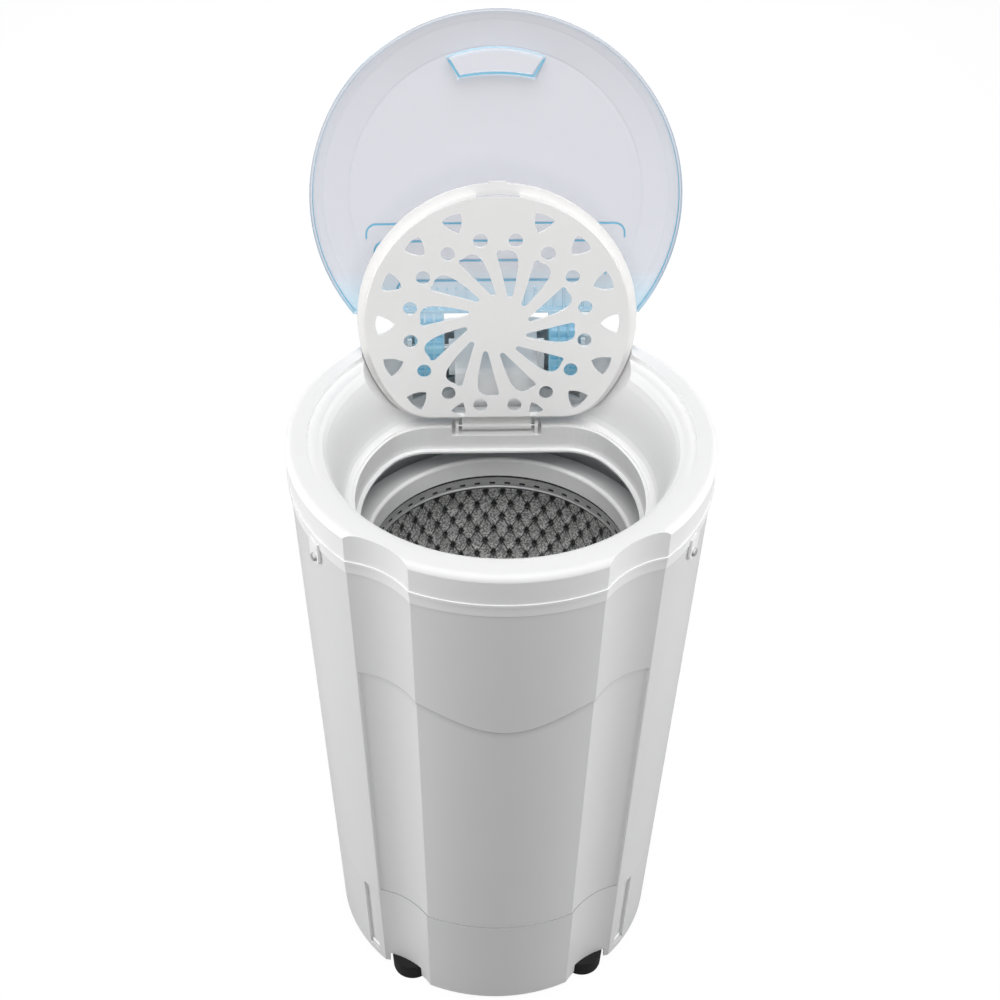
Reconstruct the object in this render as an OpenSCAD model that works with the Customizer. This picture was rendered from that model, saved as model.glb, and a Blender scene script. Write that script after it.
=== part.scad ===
// Portable laundry spin dryer with two hinged lids, both shown standing open.
// Millimetres, +Z up, front towards -Y. The origin is on the body's axis at the floor.

/* [Casing] */
// Radius of the casing's cone where it meets the floor plane
body_base_r = 155.5; // [150:0.5:162]
// Radius that the casing gains for each millimetre of height
body_taper = 0.05; // [0.045:0.001:0.055]
// Height of the rim's flat top above the floor
rim_top_z = 590; // [580:1:600]
// Height of the seam between the casing and the top deck
deck_seam_z = 547; // [540:1:550]
// Height of the base seam across the front
base_seam_front_z = 122; // [112:1:128]
// Height of the base seam at the sides and the rear
base_seam_side_z = 136; // [130:1:142]
// Dip of the base seam behind each flute
base_seam_dip = 7; // [4:0.5:9]
// Height of the base skirt's lower edge
skirt_z = 8; // [6:0.5:10]
// Thickness of the moulded walls
wall = 3; // [2.6:0.1:3.2]
// Angle from the front at which each flute starts
flute_from = 26; // [24:0.5:28]
// Angle from the front at which each flute ends
flute_to = 45.5; // [44:0.5:48]
// Depth of a flute below the casing's cone at the rim
flute_depth = 9; // [7:0.5:10]
// Height of the curved step line at the middle of the front
smile_z = 404; // [395:1:410]
// Rise of the step line towards the flutes
smile_rise = 24; // [18:1:30]
// Depth of the step under the line
smile_depth = 1.2; // [0.8:0.1:1.5]

/* [Base] */
// Height of the base floor's underside, which rests on the feet
floor_z = 20; // [18:1:22]
// Radius of a rubber foot
foot_r = 20; // [18:0.5:21]
// Distance of the feet from the axis
foot_ring_r = 138; // [134:0.5:139]
// Angle of the front feet from the front, mirrored to the rear
foot_angle = 38; // [36:1:42]

/* [Top deck] */
// Inner radius of the rim's flat top, which the closed outer lid fills
rim_in_r = 167.5; // [166:0.5:169]
// Depth of the ledge that the outer lid rests on
ledge_drop = 5.5; // [4.5:0.5:7]
// Inner radius of the ledge, where the dish starts
ledge_in_r = 157; // [155:0.5:158]
// Height of the dish's floor
dish_z = 521; // [518:1:524]
// Radius at which the dish's slope reaches its floor
dish_floor_r = 134; // [132:0.5:136]
// Radius of the opening into the drum
mouth_r = 128; // [126:0.5:129]
// Distance of the opening's straight rear edge from the axis
mouth_flat_y = 98; // [95:0.5:99]
// Corner radius at the ends of the straight edge
mouth_corner_r = 50; // [44:1:56]
// Height of the collar's lower edge
collar_z = 495; // [490:1:500]
// Half width of the console between the hinge slots
console_half_w = 38; // [36:0.5:40]

/* [Outer lid] */
// Radius of the lid
lid_r = 166; // [164:0.5:166.5]
// Distance of the lid's straight rear edge from its centre
lid_chord_y = 104; // [100:0.5:106]
// Height of the dome's middle above the lid's edge
lid_rise = 25; // [22:1:28]
// Thickness of the lid
lid_wall = 2.5; // [2:0.1:2.8]
// Distance of the hinge axis behind the body's axis
lid_hinge_y = 136; // [135:0.5:137]
// Angle through which the lid opens
lid_open = 109.5; // [90:0.5:109.5]
// Distance of each hinge leg's middle from the centre plane
leg_x = 61; // [60.5:0.1:61.5]
// Width of a hinge leg
leg_w = 27; // [25:0.5:27.5]
// Radius of the hinge pins
lid_pin_r = 3; // [2.5:0.1:3.2]

/* [Inner lid] */
// Radius of the inner lid's flange
inner_r = 125.5; // [123:0.5:126]
// Thickness of the inner lid's flange
inner_flange_t = 3; // [2.5:0.1:3.2]
// Depth from the flange's top to the perforated plate's underside
inner_depth = 17; // [14:0.5:18]
// Radius of the perforated plate
plate_r = 118; // [116:0.5:119]
// Thickness of the perforated plate and its wall
plate_t = 2.5; // [2:0.1:2.8]
// Distance of the inner hinge axis behind the body's axis
inner_hinge_y = 105; // [104:0.5:105.5]
// Height of the inner hinge axis
inner_hinge_z = 519; // [518:0.5:520]
// Angle through which the inner lid opens
inner_open = 103.6; // [90:0.1:103.6]
// Radius of the inner hinge rod
inner_pin_r = 1.6; // [1.4:0.1:1.8]

/* [Drum] */
// Inner radius of the stainless drum
drum_r = 138; // [135:0.5:139]
// Height of the drum's floor
drum_floor_z = 238; // [236:1:240]
// Height at which the drum's wall turns in under the ring
drum_top_z = 430; // [424:1:434]
// Thickness of the drum's sheet
drum_sheet = 1; // [0.8:0.1:1.2]
// Radius of the drum's neck inside the ring
drum_neck_r = 119.5; // [119:0.1:120]
// Inner radius of the balance ring
ring_in_r = 117.5; // [116:0.1:118]
// Outer radius of the balance ring
ring_out_r = 149; // [146:0.5:150]
// Height of the balance ring's inner lip
ring_top_z = 468.6; // [466:0.2:470]
// Radius of a drain hole in the drum
drain_hole_r = 2.2; // [1.5:0.1:3]

/* [Tub] */
// Inner radius of the water tub at its floor
tub_low_r = 147; // [145:0.5:148]
// Inner radius of the water tub at its top
tub_high_r = 161; // [160.8:0.1:161.4]
// Height of the tub floor's underside at the wall
tub_z = 212; // [208:1:214]
// Height of the tub's top edge
tub_top_z = 530; // [526:1:533]
// Thickness of the tub's wall
tub_wall = 2.5; // [2:0.1:2.6]
// Distance of the tub's drain outlet behind the axis
drain_y = 128; // [126:0.5:130]
// Height of the drain spigot
spigot_z = 64; // [58:1:70]
// Outer radius of the drain spigot
spigot_r = 11.5; // [10:0.1:12]
// Bore radius of the drain spigot and the tub's outlet
spigot_bore_r = 9; // [7:0.1:9.5]
// Length of the spigot beyond its flange
spigot_len = 26; // [20:1:32]

/* [Drive] */
// Radius of the motor's can
motor_r = 66; // [60:0.5:68]
// Height of the motor's lower end
motor_z = 38; // [34:1:40]
// Height of the motor's upper end
motor_top_z = 132; // [126:1:136]
// Height of the underside of the plate that carries the motor
mount_z = 67; // [64:1:68]
// Distance of the springs from the axis
spring_ring_r = 104; // [102:1:108]
// Mean radius of a spring's coil
spring_r = 12; // [11:0.1:12.5]
// Wire radius of a spring
spring_wire_r = 1.75; // [1.5:0.05:1.9]
// Turns of a spring
spring_turns = 4.5; // [3:0.5:5]
// Radius of the motor's end of the shaft
shaft_r = 6; // [5.5:0.1:6.5]
// Radius of the drum's end of the shaft
drum_shaft_r = 8; // [7.5:0.1:8.5]
// Radius of the brake drum
brake_r = 45; // [42:0.5:46]
// Angle that the brake lever turns through as the outer lid closes
brake_release = 8; // [6:0.5:8]

/* [Hidden] */
$fn = 96;

white = [0.95, 0.95, 0.96];
lid_blue = [0.72, 0.85, 0.95, 0.45];
steel = [0.75, 0.76, 0.78];
black = [0.08, 0.08, 0.09];

seat_gap = 0.1;      // between fixed pieces that only rest on each other
run_gap = 0.06;      // radial, between a turning piece and its bearing
slide_gap = 0.15;    // radial, round the switch plunger
bite = 0.01;         // by which a cut runs past the face it opens
far = 400;           // beyond every outline

function cone_r(z) = body_base_r + body_taper*z;
apex_z = -body_base_r/body_taper;
function arc_points(cx, cy, r, a0, a1, n) =
    [for (i = [0:n]) let(a = a0 + (a1 - a0)*i/n) [cx + r*cos(a), cy + r*sin(a)]];
function bezier(p, t) =
    pow(1 - t, 3)*p[0] + 3*t*pow(1 - t, 2)*p[1] + 3*t*t*(1 - t)*p[2] + pow(t, 3)*p[3];
function bezier_slope(p, t) =
    3*pow(1 - t, 2)*(p[1] - p[0]) + 6*t*(1 - t)*(p[2] - p[1]) + 3*t*t*(p[3] - p[2]);
function polar(r, a) = [r*cos(a), r*sin(a)];

// Children at an angle a from the front, r from the axis, z up, their +Z pointing outwards.
module facing(a, r, z) { rotate([0, 0, a - 90]) translate([r, 0, z]) rotate([0, 90, 0]) children(); }
// Children at an angle a from the front and r from the axis, upright.
module standing(a, r, z = 0) { rotate([0, 0, a - 90]) translate([r, 0, z]) children(); }
// A cylinder along X through the point (y, z), from x0 to x1.
module rod_x(x0, x1, y, z, r) { translate([x0, y, z]) rotate([0, 90, 0]) cylinder(h = x1 - x0, r = r); }
module box(x0, x1, y0, y1, z0, z1) { translate([x0, y0, z0]) cube([x1 - x0, y1 - y0, z1 - z0]); }
module ring(r_out, r_in, z0, z1) {
    difference() {
        translate([0, 0, z0]) cylinder(h = z1 - z0, r = r_out);
        translate([0, 0, z0 - 1]) cylinder(h = z1 - z0 + 2, r = r_in);
    }
}
// A side view, as [y, z] points, extruded from x0 to x1.
module profile_x(points, x0, x1) {
    translate([x0, 0, 0]) rotate([90, 0, 90]) linear_extrude(x1 - x0) polygon(points);
}

// --- Casing outline: a cone with one hollow flute on each side of the front panel ---
flute_mid = (flute_from + flute_to)/2;
flute_half = (flute_to - flute_from)/2;
rim_r = cone_r(rim_top_z);
flute_chord = rim_r*sin(flute_half);
flute_sag = flute_depth - rim_r*(1 - cos(flute_half));
flute_r = (flute_chord*flute_chord + flute_sag*flute_sag)/(2*flute_sag);
flute_centre = rim_r - flute_depth + flute_r;
flute_reach = rim_top_z - apex_z;
flute_tilt = atan(flute_centre/flute_reach);
flute_axis_len = sqrt(flute_centre*flute_centre + flute_reach*flute_reach);
flute_shift = 0.6;   // keeps the cutter's apex off the casing's at every inset
flute_near = 0.975*-apex_z;
flute_far = 1.02*flute_axis_len;

module flute_cutters(grow) {
    for (a = [-flute_mid, flute_mid])
        rotate([0, 0, a - 90]) translate([0, 0, apex_z]) rotate([0, flute_tilt, 0])
            translate([0, 0, flute_near])
                cylinder(
                    h = flute_far - flute_near,
                    r1 = flute_r*flute_near/flute_axis_len + grow + flute_shift,
                    r2 = flute_r*flute_far/flute_axis_len + grow + flute_shift
                );
}

// The casing's solid from z0 to z1, drawn in by inset from its outer surface.
module casing(z0, z1, inset) {
    difference() {
        translate([0, 0, z0]) cylinder(h = z1 - z0, r1 = cone_r(z0) - inset, r2 = cone_r(z1) - inset);
        flute_cutters(inset);
    }
}

// --- Base seam: level across the front, dipping behind the flutes, then rising to the sides ---
seam_level_y = -114;
seam_dip_y = -95;
seam_high_y = -30;
seam_steps = 5;
function ease(a, b, t) = a + (b - a)*(1 - cos(180*t))/2;
module below_seam(lift) {
    dip_z = base_seam_front_z - base_seam_dip;
    fall = [for (i = [0:seam_steps]) let(t = i/seam_steps)
        [seam_level_y + (seam_dip_y - seam_level_y)*t, ease(base_seam_front_z, dip_z, t) + lift]];
    climb = [for (i = [1:2*seam_steps]) let(t = i/(2*seam_steps))
        [seam_dip_y + (seam_high_y - seam_dip_y)*t, ease(dip_z, base_seam_side_z, t) + lift]];
    profile_x(concat(
        [[-far, -10], [-far, base_seam_front_z + lift]],
        fall, climb,
        [[far, base_seam_side_z + lift], [far, -10]]
    ), -far, far);
}

// --- The curved step line: everything under it on the front panel and the flutes ---
smile_half_w = 95;
smile_steps = 10;
smile_side_x = 150;
module below_smile() {
    curve = [for (i = [-smile_steps:smile_steps]) let(x = smile_half_w*i/smile_steps)
        [x, smile_z + smile_rise*(1 - cos(180*x/smile_half_w))/2]];
    intersection() {
        translate([0, -50, 0]) rotate([90, 0, 0]) linear_extrude(far)
            polygon(concat(
                [[-smile_side_x, 0], [-smile_side_x, smile_z + smile_rise]], curve,
                [[smile_side_x, smile_z + smile_rise], [smile_side_x, 0]]
            ));
        linear_extrude(smile_z + smile_rise + 1)
            polygon([[0, 0], far*[-tan(flute_to), -1], far*[tan(flute_to), -1]]);
    }
}

// --- Body shell ---
lip_inset = wall - 0.5;
lip_t = 2.5;
lip_h = 8;
bracket_angles = [0, 90, 180, 270];
bracket_w = 16;
bracket_z = tub_top_z - 3 - seat_gap;
bracket_h = 12;
bracket_in_r = tub_high_r + tub_wall + 1;
deck_screw_angles = [59.5, 120.5, 239.5, 300.5];
deck_screw_z = 535;
screw_hole_r = 2;

module body_shell() color(white) {
    difference() {
        union() {
            casing(base_seam_front_z - base_seam_dip - 1, deck_seam_z, 0);
            casing(deck_seam_z - lip_h, deck_seam_z + lip_h, lip_inset);
        }
        casing(0, deck_seam_z - lip_h, wall);
        casing(deck_seam_z - lip_h - bite, deck_seam_z + lip_h + 1, lip_inset + lip_t);
        below_seam(0);
        intersection() {
            below_smile();
            difference() {
                casing(0, rim_top_z, -5);
                casing(-1, rim_top_z + 1, smile_depth);
            }
        }
        for (a = deck_screw_angles)
            facing(a, cone_r(deck_screw_z) - 12, deck_screw_z) cylinder(h = 30, r = screw_hole_r);
    }
    for (a = bracket_angles)
        intersection() {
            standing(a, bracket_in_r)
                box(0, 30, -bracket_w/2, bracket_w/2, bracket_z - bracket_h, bracket_z);
            casing(bracket_z - bracket_h - 1, bracket_z + 1, wall - 0.2);
        }
}

// --- Base housing ---
base_lip_in = wall + 0.3;
base_lip_t = 2;
foot_angles = [foot_angle, 180 - foot_angle, 180 + foot_angle, 360 - foot_angle];
spring_angles = [0, 120, 240];
spring_pad_z = floor_z + wall + 3;
spring_stub_r = 6;
notch_a = 51.5;
notch_w = 15;
notch_depth = 5;
notch_low_z = 16;
notch_high_z = 108;
spigot_flat_y = 157.5;
spigot_flange_r = 20;
gland_angle = 150;
gland_z = 64;
gland_r = 9;
capacitor_pos = [112, -14];
capacitor_r = 17;

module base_notches() {
    for (side = [-1, 1])
        rotate([0, 0, side*notch_a - 90])
            translate([cone_r(notch_low_z) - notch_depth, notch_w/2, 0]) rotate([90, 0, 0])
                linear_extrude(notch_w)
                    polygon([
                        [0, notch_low_z], [30, notch_low_z - 4],
                        [30, notch_high_z + 30], [0, notch_high_z - 6], [-1, notch_low_z + 10]
                    ]);
}

module base_housing() color(white) {
    difference() {
        union() {
            intersection() {
                union() {
                    difference() {
                        casing(skirt_z, base_seam_side_z + 10, 0);
                        casing(floor_z + wall, base_seam_side_z + 11, wall);
                        casing(skirt_z - 1, floor_z, wall);
                        base_notches();
                    }
                    // inner backing of the side notches
                    intersection() {
                        difference() {
                            casing(skirt_z, notch_high_z + 12, wall - bite);
                            casing(skirt_z - 1, notch_high_z + 13, notch_depth + 5);
                        }
                        for (side = [-1, 1])
                            standing(side*notch_a, cone_r(0) - 20)
                                box(0, 60, -notch_w/2 - wall, notch_w/2 + wall, floor_z, notch_high_z + 10);
                    }
                }
                below_seam(0);
            }
            // locating lip inside the body shell
            intersection() {
                difference() {
                    casing(base_seam_front_z - 16, base_seam_side_z + 6, base_lip_in);
                    casing(base_seam_front_z - 17, base_seam_side_z + 7, base_lip_in + base_lip_t);
                }
                below_seam(5);
                difference() {
                    box(-far, far, -far, far, 0, far);
                    below_seam(-6);
                }
            }
            intersection() {
                difference() {
                    casing(base_seam_front_z - 16, base_seam_side_z + 6, wall - bite);
                    casing(base_seam_front_z - 17, base_seam_side_z + 7, base_lip_in + bite);
                }
                below_seam(-1);
                difference() {
                    box(-far, far, -far, far, 0, far);
                    below_seam(-6);
                }
            }
            for (a = spring_angles) standing(a, spring_ring_r) {
                translate([0, 0, floor_z + wall]) cylinder(h = 3, r = 19);
                translate([0, 0, floor_z + wall]) cylinder(h = 11, r = spring_stub_r);
            }
            for (a = foot_angles) standing(a, foot_ring_r)
                translate([0, 0, floor_z + wall - bite]) cylinder(h = 9, r = 5.5);
            translate([capacitor_pos.x, capacitor_pos.y, 0])
                ring(capacitor_r + 3, capacitor_r + seat_gap, floor_z + wall - bite, floor_z + 25);
        }
        for (a = foot_angles) standing(a, foot_ring_r) {
            translate([0, 0, -1]) cylinder(h = floor_z + 1, r = foot_r + 2);
            translate([0, 0, floor_z - 1]) cylinder(h = 11, r = 2.1);
        }
        translate([0, spigot_flat_y, spigot_z]) rotate([-90, 0, 0]) cylinder(h = 20, r = spigot_flange_r + 0.4);
        translate([0, spigot_flat_y - 20, spigot_z]) rotate([-90, 0, 0]) cylinder(h = 40, r = spigot_r + seat_gap);
        facing(gland_angle, cone_r(gland_z) - 12, gland_z) cylinder(h = 30, r = gland_r + seat_gap);
    }
}

module rubber_feet() color(black)
    for (a = foot_angles) standing(a, foot_ring_r)
        rotate_extrude() polygon([
            [5.2, 0], [foot_r - 3, 0], [foot_r - 1.5, 1], [foot_r - 1, 3], [foot_r, floor_z],
            [2.3, floor_z], [2.3, 12], [4.4, 12], [4.4, 10.2], [5.2, 10.2]
        ]);

module foot_screws() color(steel)
    for (a = foot_angles) standing(a, foot_ring_r) {
        translate([0, 0, 10.5]) cylinder(h = 1.5, r = 4.2);
        translate([0, 0, 11.9]) cylinder(h = floor_z - 2, r = 2);
    }

// --- D-shaped solid: a disc with a straight rear edge and rounded corners ---
corner_steps = 8;
function mirrored(points) = [for (i = [len(points) - 1:-1:0]) [-points[i].x, points[i].y]];
module d_solid(r, flat_y, corner_r, z0, z1) {
    corner_y = flat_y - corner_r;
    corner_x = sqrt(pow(r - corner_r, 2) - corner_y*corner_y);
    corner = arc_points(corner_x, corner_y, corner_r, atan2(corner_y, corner_x), 90, corner_steps);
    outwards = corner[0] - corner[1];
    start = corner[0] + 30*outwards/norm(outwards);
    half = concat([[far, -far], [far, start.y], start], [for (i = [1:corner_steps]) corner[i]]);
    translate([0, 0, z0]) intersection() {
        cylinder(h = z1 - z0, r = r, $fn = 128);
        linear_extrude(z1 - z0) polygon(concat(half, mirrored(half)));
    }
}
// The same outline as the opening's, moved out by grow.
module mouth_solid(grow, z0, z1) {
    d_solid(mouth_r + grow, mouth_flat_y + grow, mouth_corner_r + grow, z0, z1);
}

// --- Top deck ---
deck_proud = 0.8;
ledge_z = rim_top_z - ledge_drop;
deck_under_z = rim_top_z - wall;
dish_curve = [
    [ledge_in_r, ledge_z], [ledge_in_r - 12, ledge_z],
    [dish_floor_r + 8, dish_z], [dish_floor_r, dish_z]
];
dish_steps = 10;
tub_ring_in = tub_high_r - 2.8;
tub_ring_out = tub_high_r - 0.4;
rim_round = 7;
collar_wall = 2.5;
collar_ledge = 4;
slot_out_x = 77;
slot_front_y = 118.5;
slot_rear_y = 164.8;
slot_z = 538;
lid_hinge_z = ledge_z + 0.5;
cheek_r = 8;
cheek_t = 4;
cheek_low_z = 560;
shelf_front_y = 112.5;
shelf_face = [[shelf_front_y + 0.7, 540], [119, 562], [120.6, 566.5], [125, 569.5]];
tab_w = 14;
tab_proud = 2.6;
hinge_half_w = 41.2;
lug_in_x = 35;
lug_t = 3;
plunger_y = 130;
plunger_r = 3;
switch_z = 543;
switch_h = 16;
switch_half_w = 14;
switch_front_y = 122.5;
switch_rear_y = 138;

// Points of the dish's slope, moved by depth under its surface.
function dish_points(depth) = [for (i = [0:dish_steps]) let(
    t = i/dish_steps, s = bezier_slope(dish_curve, t), n = [-s.y, s.x]/norm(s)
) bezier(dish_curve, t) + depth*n];

module deck_rim() {
    intersection() {
        difference() {
            casing(deck_seam_z, rim_top_z, -deck_proud);
            casing(deck_seam_z - 1, deck_under_z, wall - deck_proud);
            translate([0, 0, deck_under_z - 5]) cylinder(h = 20, r = rim_in_r + 2);
        }
        rotate_extrude() polygon(concat(
            [[0, deck_seam_z - 1], [far/2, deck_seam_z - 1], [far/2, rim_top_z - rim_round]],
            arc_points(rim_r + deck_proud - rim_round, rim_top_z - rim_round, rim_round, 0, 90, 6),
            [[0, rim_top_z]]
        ));
    }
    // raised bead round the skirt
    intersection() {
        difference() {
            casing(deck_seam_z + 2, deck_seam_z + 22, -deck_proud - 1.1);
            casing(deck_seam_z + 1, deck_seam_z + 23, -deck_proud + 1);
        }
        box(-far, far, -far, far, deck_seam_z + 10.6, deck_seam_z + 13.4);
    }
}

module deck_dish() {
    rotate_extrude() polygon(concat(
        [[rim_in_r + 6, rim_top_z], [rim_in_r, rim_top_z], [rim_in_r, ledge_z]],
        dish_points(0),
        [[90, dish_z], [90, dish_z - wall]],
        [for (i = [dish_steps:-1:0]) dish_points(wall)[i]],
        [[rim_in_r + wall, ledge_z - wall], [rim_in_r + wall, deck_under_z], [rim_in_r + 6, deck_under_z]]
    ));
    ring(tub_ring_out, tub_ring_in, tub_top_z - 8, ledge_z - wall + bite);
}

// The space inside the dish, up to the rim's inner wall.
module dish_hollow() {
    rotate_extrude() polygon(concat(
        [[rim_in_r, ledge_z]], dish_points(0), [[0, dish_z], [0, far*2], [rim_in_r, far*2]]
    ));
}

// Where the open inner lid stands: its own outline set upright, back to a wall that leans as it does.
bay_gap = 1.5;
bay_ahead = 13;
module lid_bay(grow) {
    lean = inner_open - 90;
    rear_z = [inner_hinge_z - 30, rim_top_z + 30];
    rear = [for (z = rear_z)
        [inner_hinge_y + (1 + bay_gap + grow)/cos(lean) + (z - inner_hinge_z)*tan(lean), z]];
    intersection() {
        hinged(inner_hinge_y, inner_hinge_z, 90)
            d_solid(inner_r + bay_gap + grow, inner_chord_y + bay_gap + grow, inner_corner_r + bay_gap + grow,
                inner_hinge_z - bay_ahead - grow, inner_hinge_z + 40);
        profile_x(concat(rear, [[0, rear_z[1]], [0, rear_z[0]]]), -far, far);
    }
}

module lid_bay_wall() {
    difference() {
        intersection() {
            lid_bay(wall);
            cylinder(h = deck_under_z + 1, r = rim_in_r + 10);
        }
        dish_hollow();
    }
}

module deck_collar() {
    mouth_solid(collar_wall, collar_z, dish_z - 1);
    difference() {
        mouth_solid(5, dish_z - 1, dish_z + 1.2);
        mouth_solid(collar_wall, dish_z - 2, dish_z + 2);
    }
}

module console() {
    profile_x(concat([[shelf_front_y, dish_z - wall]], shelf_face, [
        [ledge_in_r + 1, ledge_z], [rim_in_r - 1, ledge_z], [rim_in_r - 1, ledge_z - wall],
        [ledge_in_r + 1, ledge_z - wall], [dish_floor_r, dish_z - wall]
    ]), -console_half_w, console_half_w);
}

module console_hollow() {
    profile_x([
        [shelf_front_y + wall, dish_z - wall - 10], shelf_face[0] + [wall, 0], shelf_face[1] + [wall, 0],
        shelf_face[3] + [0, -wall - 0.6], [ledge_in_r - 2, ledge_z - wall - 1.5],
        [ledge_in_r - 8, ledge_z - 12], [dish_floor_r + 12, dish_z - wall - 10]
    ], wall - console_half_w, console_half_w - wall);
}

module hinge_cheeks() {
    for (side = [0, 1]) mirror([side, 0, 0])
        for (x = [console_half_w - 0.5, slot_out_x]) {
            t = x < slot_out_x ? 6 : cheek_t;
            rod_x(x, x + t, lid_hinge_y, lid_hinge_z, cheek_r);
            box(x, x + t, lid_hinge_y - cheek_r, lid_hinge_y + cheek_r, cheek_low_z, lid_hinge_z);
        }
}

module deck_tabs() {
    for (a = deck_screw_angles)
        intersection() {
            facing(a, cone_r(deck_screw_z) - 12, deck_screw_z)
                difference() {
                    union() {
                        cylinder(h = 30, r = tab_w/2);
                        translate([-20, -tab_w/2, 0]) cube([20, tab_w, 30]);
                    }
                    cylinder(h = 70, r = screw_hole_r, center = true);
                }
            difference() {
                casing(deck_screw_z - tab_w, deck_seam_z + 5, -tab_proud);
                casing(deck_screw_z - tab_w - 1, deck_seam_z + 6, -seat_gap);
            }
        }
}

// ribs behind the console's front, on both sides of the switch
module switch_cradle() {
    for (side = [0, 1]) mirror([side, 0, 0])
        box(switch_half_w + seat_gap, switch_half_w + 2.5, switch_front_y - 4, switch_rear_y,
            switch_z - 4, switch_z + switch_h);
    box(-switch_half_w - 2.5, switch_half_w + 2.5, shelf_front_y + 2, switch_rear_y,
        switch_z - 4, switch_z - seat_gap);
}

module inner_hinge_pocket() {
    box(-hinge_half_w, hinge_half_w, mouth_flat_y - 2, shelf_front_y - 1, inner_hinge_z - 7, dish_z + 5);
}

module inner_hinge_seat() {
    difference() {
        box(-hinge_half_w - 2, hinge_half_w + 2, mouth_flat_y + 0.5, shelf_front_y + 1,
            inner_hinge_z - 9, dish_z - 1);
        inner_hinge_pocket();
    }
}

module inner_hinge_lugs() {
    for (side = [0, 1]) mirror([side, 0, 0]) {
        rod_x(lug_in_x, lug_in_x + lug_t, inner_hinge_y, inner_hinge_z, 5);
        box(lug_in_x, lug_in_x + lug_t, inner_hinge_y - 5, inner_hinge_y + 5, inner_hinge_z - 8, inner_hinge_z);
    }
}

module top_deck() color(white)
    difference() {
        union() {
            deck_rim();
            difference() {
                union() {
                    deck_dish();
                    lid_bay_wall();
                    deck_collar();
                    console();
                }
                console_hollow();
                mouth_solid(0, collar_z - 1, dish_z + 10);
                for (side = [0, 1]) mirror([side, 0, 0])
                    box(console_half_w, slot_out_x, slot_front_y, slot_rear_y, slot_z, deck_under_z);
                inner_hinge_pocket();
            }
            // thin ledge round the collar's lower edge
            difference() {
                mouth_solid(1, collar_z, collar_z + 2);
                mouth_solid(-collar_ledge, collar_z - 1, collar_z + 3);
            }
            // two rests for the inner lid's flange, hidden by the front of the rim
            for (a = [-25, 25]) standing(a, inner_r - 3)
                box(0, mouth_r - inner_r + 4, -3, 3, collar_z, inner_hinge_z - 2 - seat_gap);
            inner_hinge_seat();
            inner_hinge_lugs();
            hinge_cheeks();
            switch_cradle();
            deck_tabs();
        }
        lid_bay(0);
        for (side = [0, 1]) mirror([side, 0, 0])
            rod_x(console_half_w, slot_out_x + 10, lid_hinge_y, lid_hinge_z, lid_pin_r + 0.02);
        rod_x(-lug_in_x - 10, lug_in_x + 10, inner_hinge_y, inner_hinge_z, inner_pin_r + 0.02);
        translate([0, plunger_y, switch_z + switch_h + 1]) cylinder(h = 40, r = plunger_r + slide_gap);
    }

module deck_screws() color(steel)
    for (a = deck_screw_angles) facing(a, cone_r(deck_screw_z), deck_screw_z) {
        translate([0, 0, tab_proud + 0.4]) cylinder(h = 1.6, r1 = 4.2, r2 = 3.2);
        translate([0, 0, -8]) cylinder(h = 8 + tab_proud + 0.5, r = screw_hole_r - 0.1);
    }

// --- Outer lid, drawn closed and then turned open about its hinge ---
lid_z = ledge_z + 0.3;
leg_rib_t = 1.8;
leg_top_t = 2.2;
leg_depth = 8;
leg_tail = 27;
leg_gap_z = rim_top_z - wall - 1.8;
barrel_r = 7;
// The dome's section from the edge to the middle: a lip, a shoulder and two shallow steps.
module lid_dome(inset) {
    rotate_extrude($fn = 160) polygon(concat(
        [[0, lid_z - (inset > 0 ? 1 : 0)], [lid_r - inset, lid_z - (inset > 0 ? 1 : 0)]],
        arc_points(lid_r - inset - 6, lid_z + 8 - inset, 6, 0, 60, 4),
        [
            [0.94*lid_r, lid_z + 14.6 - inset], [0.93*lid_r, lid_z + 15.6 - inset],
            [0.8*lid_r, lid_z + 20 - inset], [0.79*lid_r, lid_z + 20.8 - inset],
            [0.4*lid_r, lid_z + lid_rise - 1.2 - inset], [0, lid_z + lid_rise - inset]
        ]
    ));
}

module behind(y) { box(-far, far, y, far, 0, 2*far); }

// Finger recess near the front: a curved trapezoid in lid coordinates.
grip_outer_y = -129;
grip_inner_y = -110;
grip_half_w = 41;
grip_inner_half_w = 32;
grip_floor_z = lid_z + 8;
module grip(grow, z0, z1) {
    translate([0, 0, z0]) linear_extrude(z1 - z0) polygon(concat(
        [for (i = [-4:4]) let(x = i/4*(grip_half_w + grow)) [x, grip_outer_y - grow + 0.0045*x*x]],
        [for (i = [4:-1:-4]) let(x = i/4*(grip_inner_half_w + grow)) [x, grip_inner_y + grow + 0.003*x*x]]
    ));
}

leg_profile = [
    [lid_chord_y - 1, lid_z + 2], [lid_chord_y - 1, lid_hinge_z + leg_depth],
    [lid_hinge_y, lid_hinge_z + leg_depth], [lid_hinge_y + 8, lid_hinge_z + leg_depth - 3],
    [lid_hinge_y + 12, leg_gap_z], [lid_hinge_y + leg_tail - 1.5, leg_gap_z],
    [lid_hinge_y + leg_tail, leg_gap_z - 1.5], [lid_hinge_y + leg_tail, lid_hinge_z - leg_depth + 2],
    [lid_hinge_y + leg_tail - 2, lid_hinge_z - leg_depth], [lid_chord_y + 6, lid_hinge_z - leg_depth]
];
leg_hollow = [
    [lid_chord_y, lid_hinge_z - leg_depth - 1], [lid_chord_y, lid_hinge_z + leg_depth - leg_top_t],
    [lid_hinge_y, lid_hinge_z + leg_depth - leg_top_t],
    [lid_hinge_y + 7, lid_hinge_z + leg_depth - leg_top_t - 3],
    [lid_hinge_y + 11, leg_gap_z - leg_top_t], [lid_hinge_y + leg_tail - leg_rib_t, leg_gap_z - leg_top_t],
    [lid_hinge_y + leg_tail - leg_rib_t, lid_hinge_z - leg_depth - 1]
];
leg_bays = 3;
leg_cross_ribs = [for (i = [0:5]) lid_chord_y + 6 + 9*i];

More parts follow.
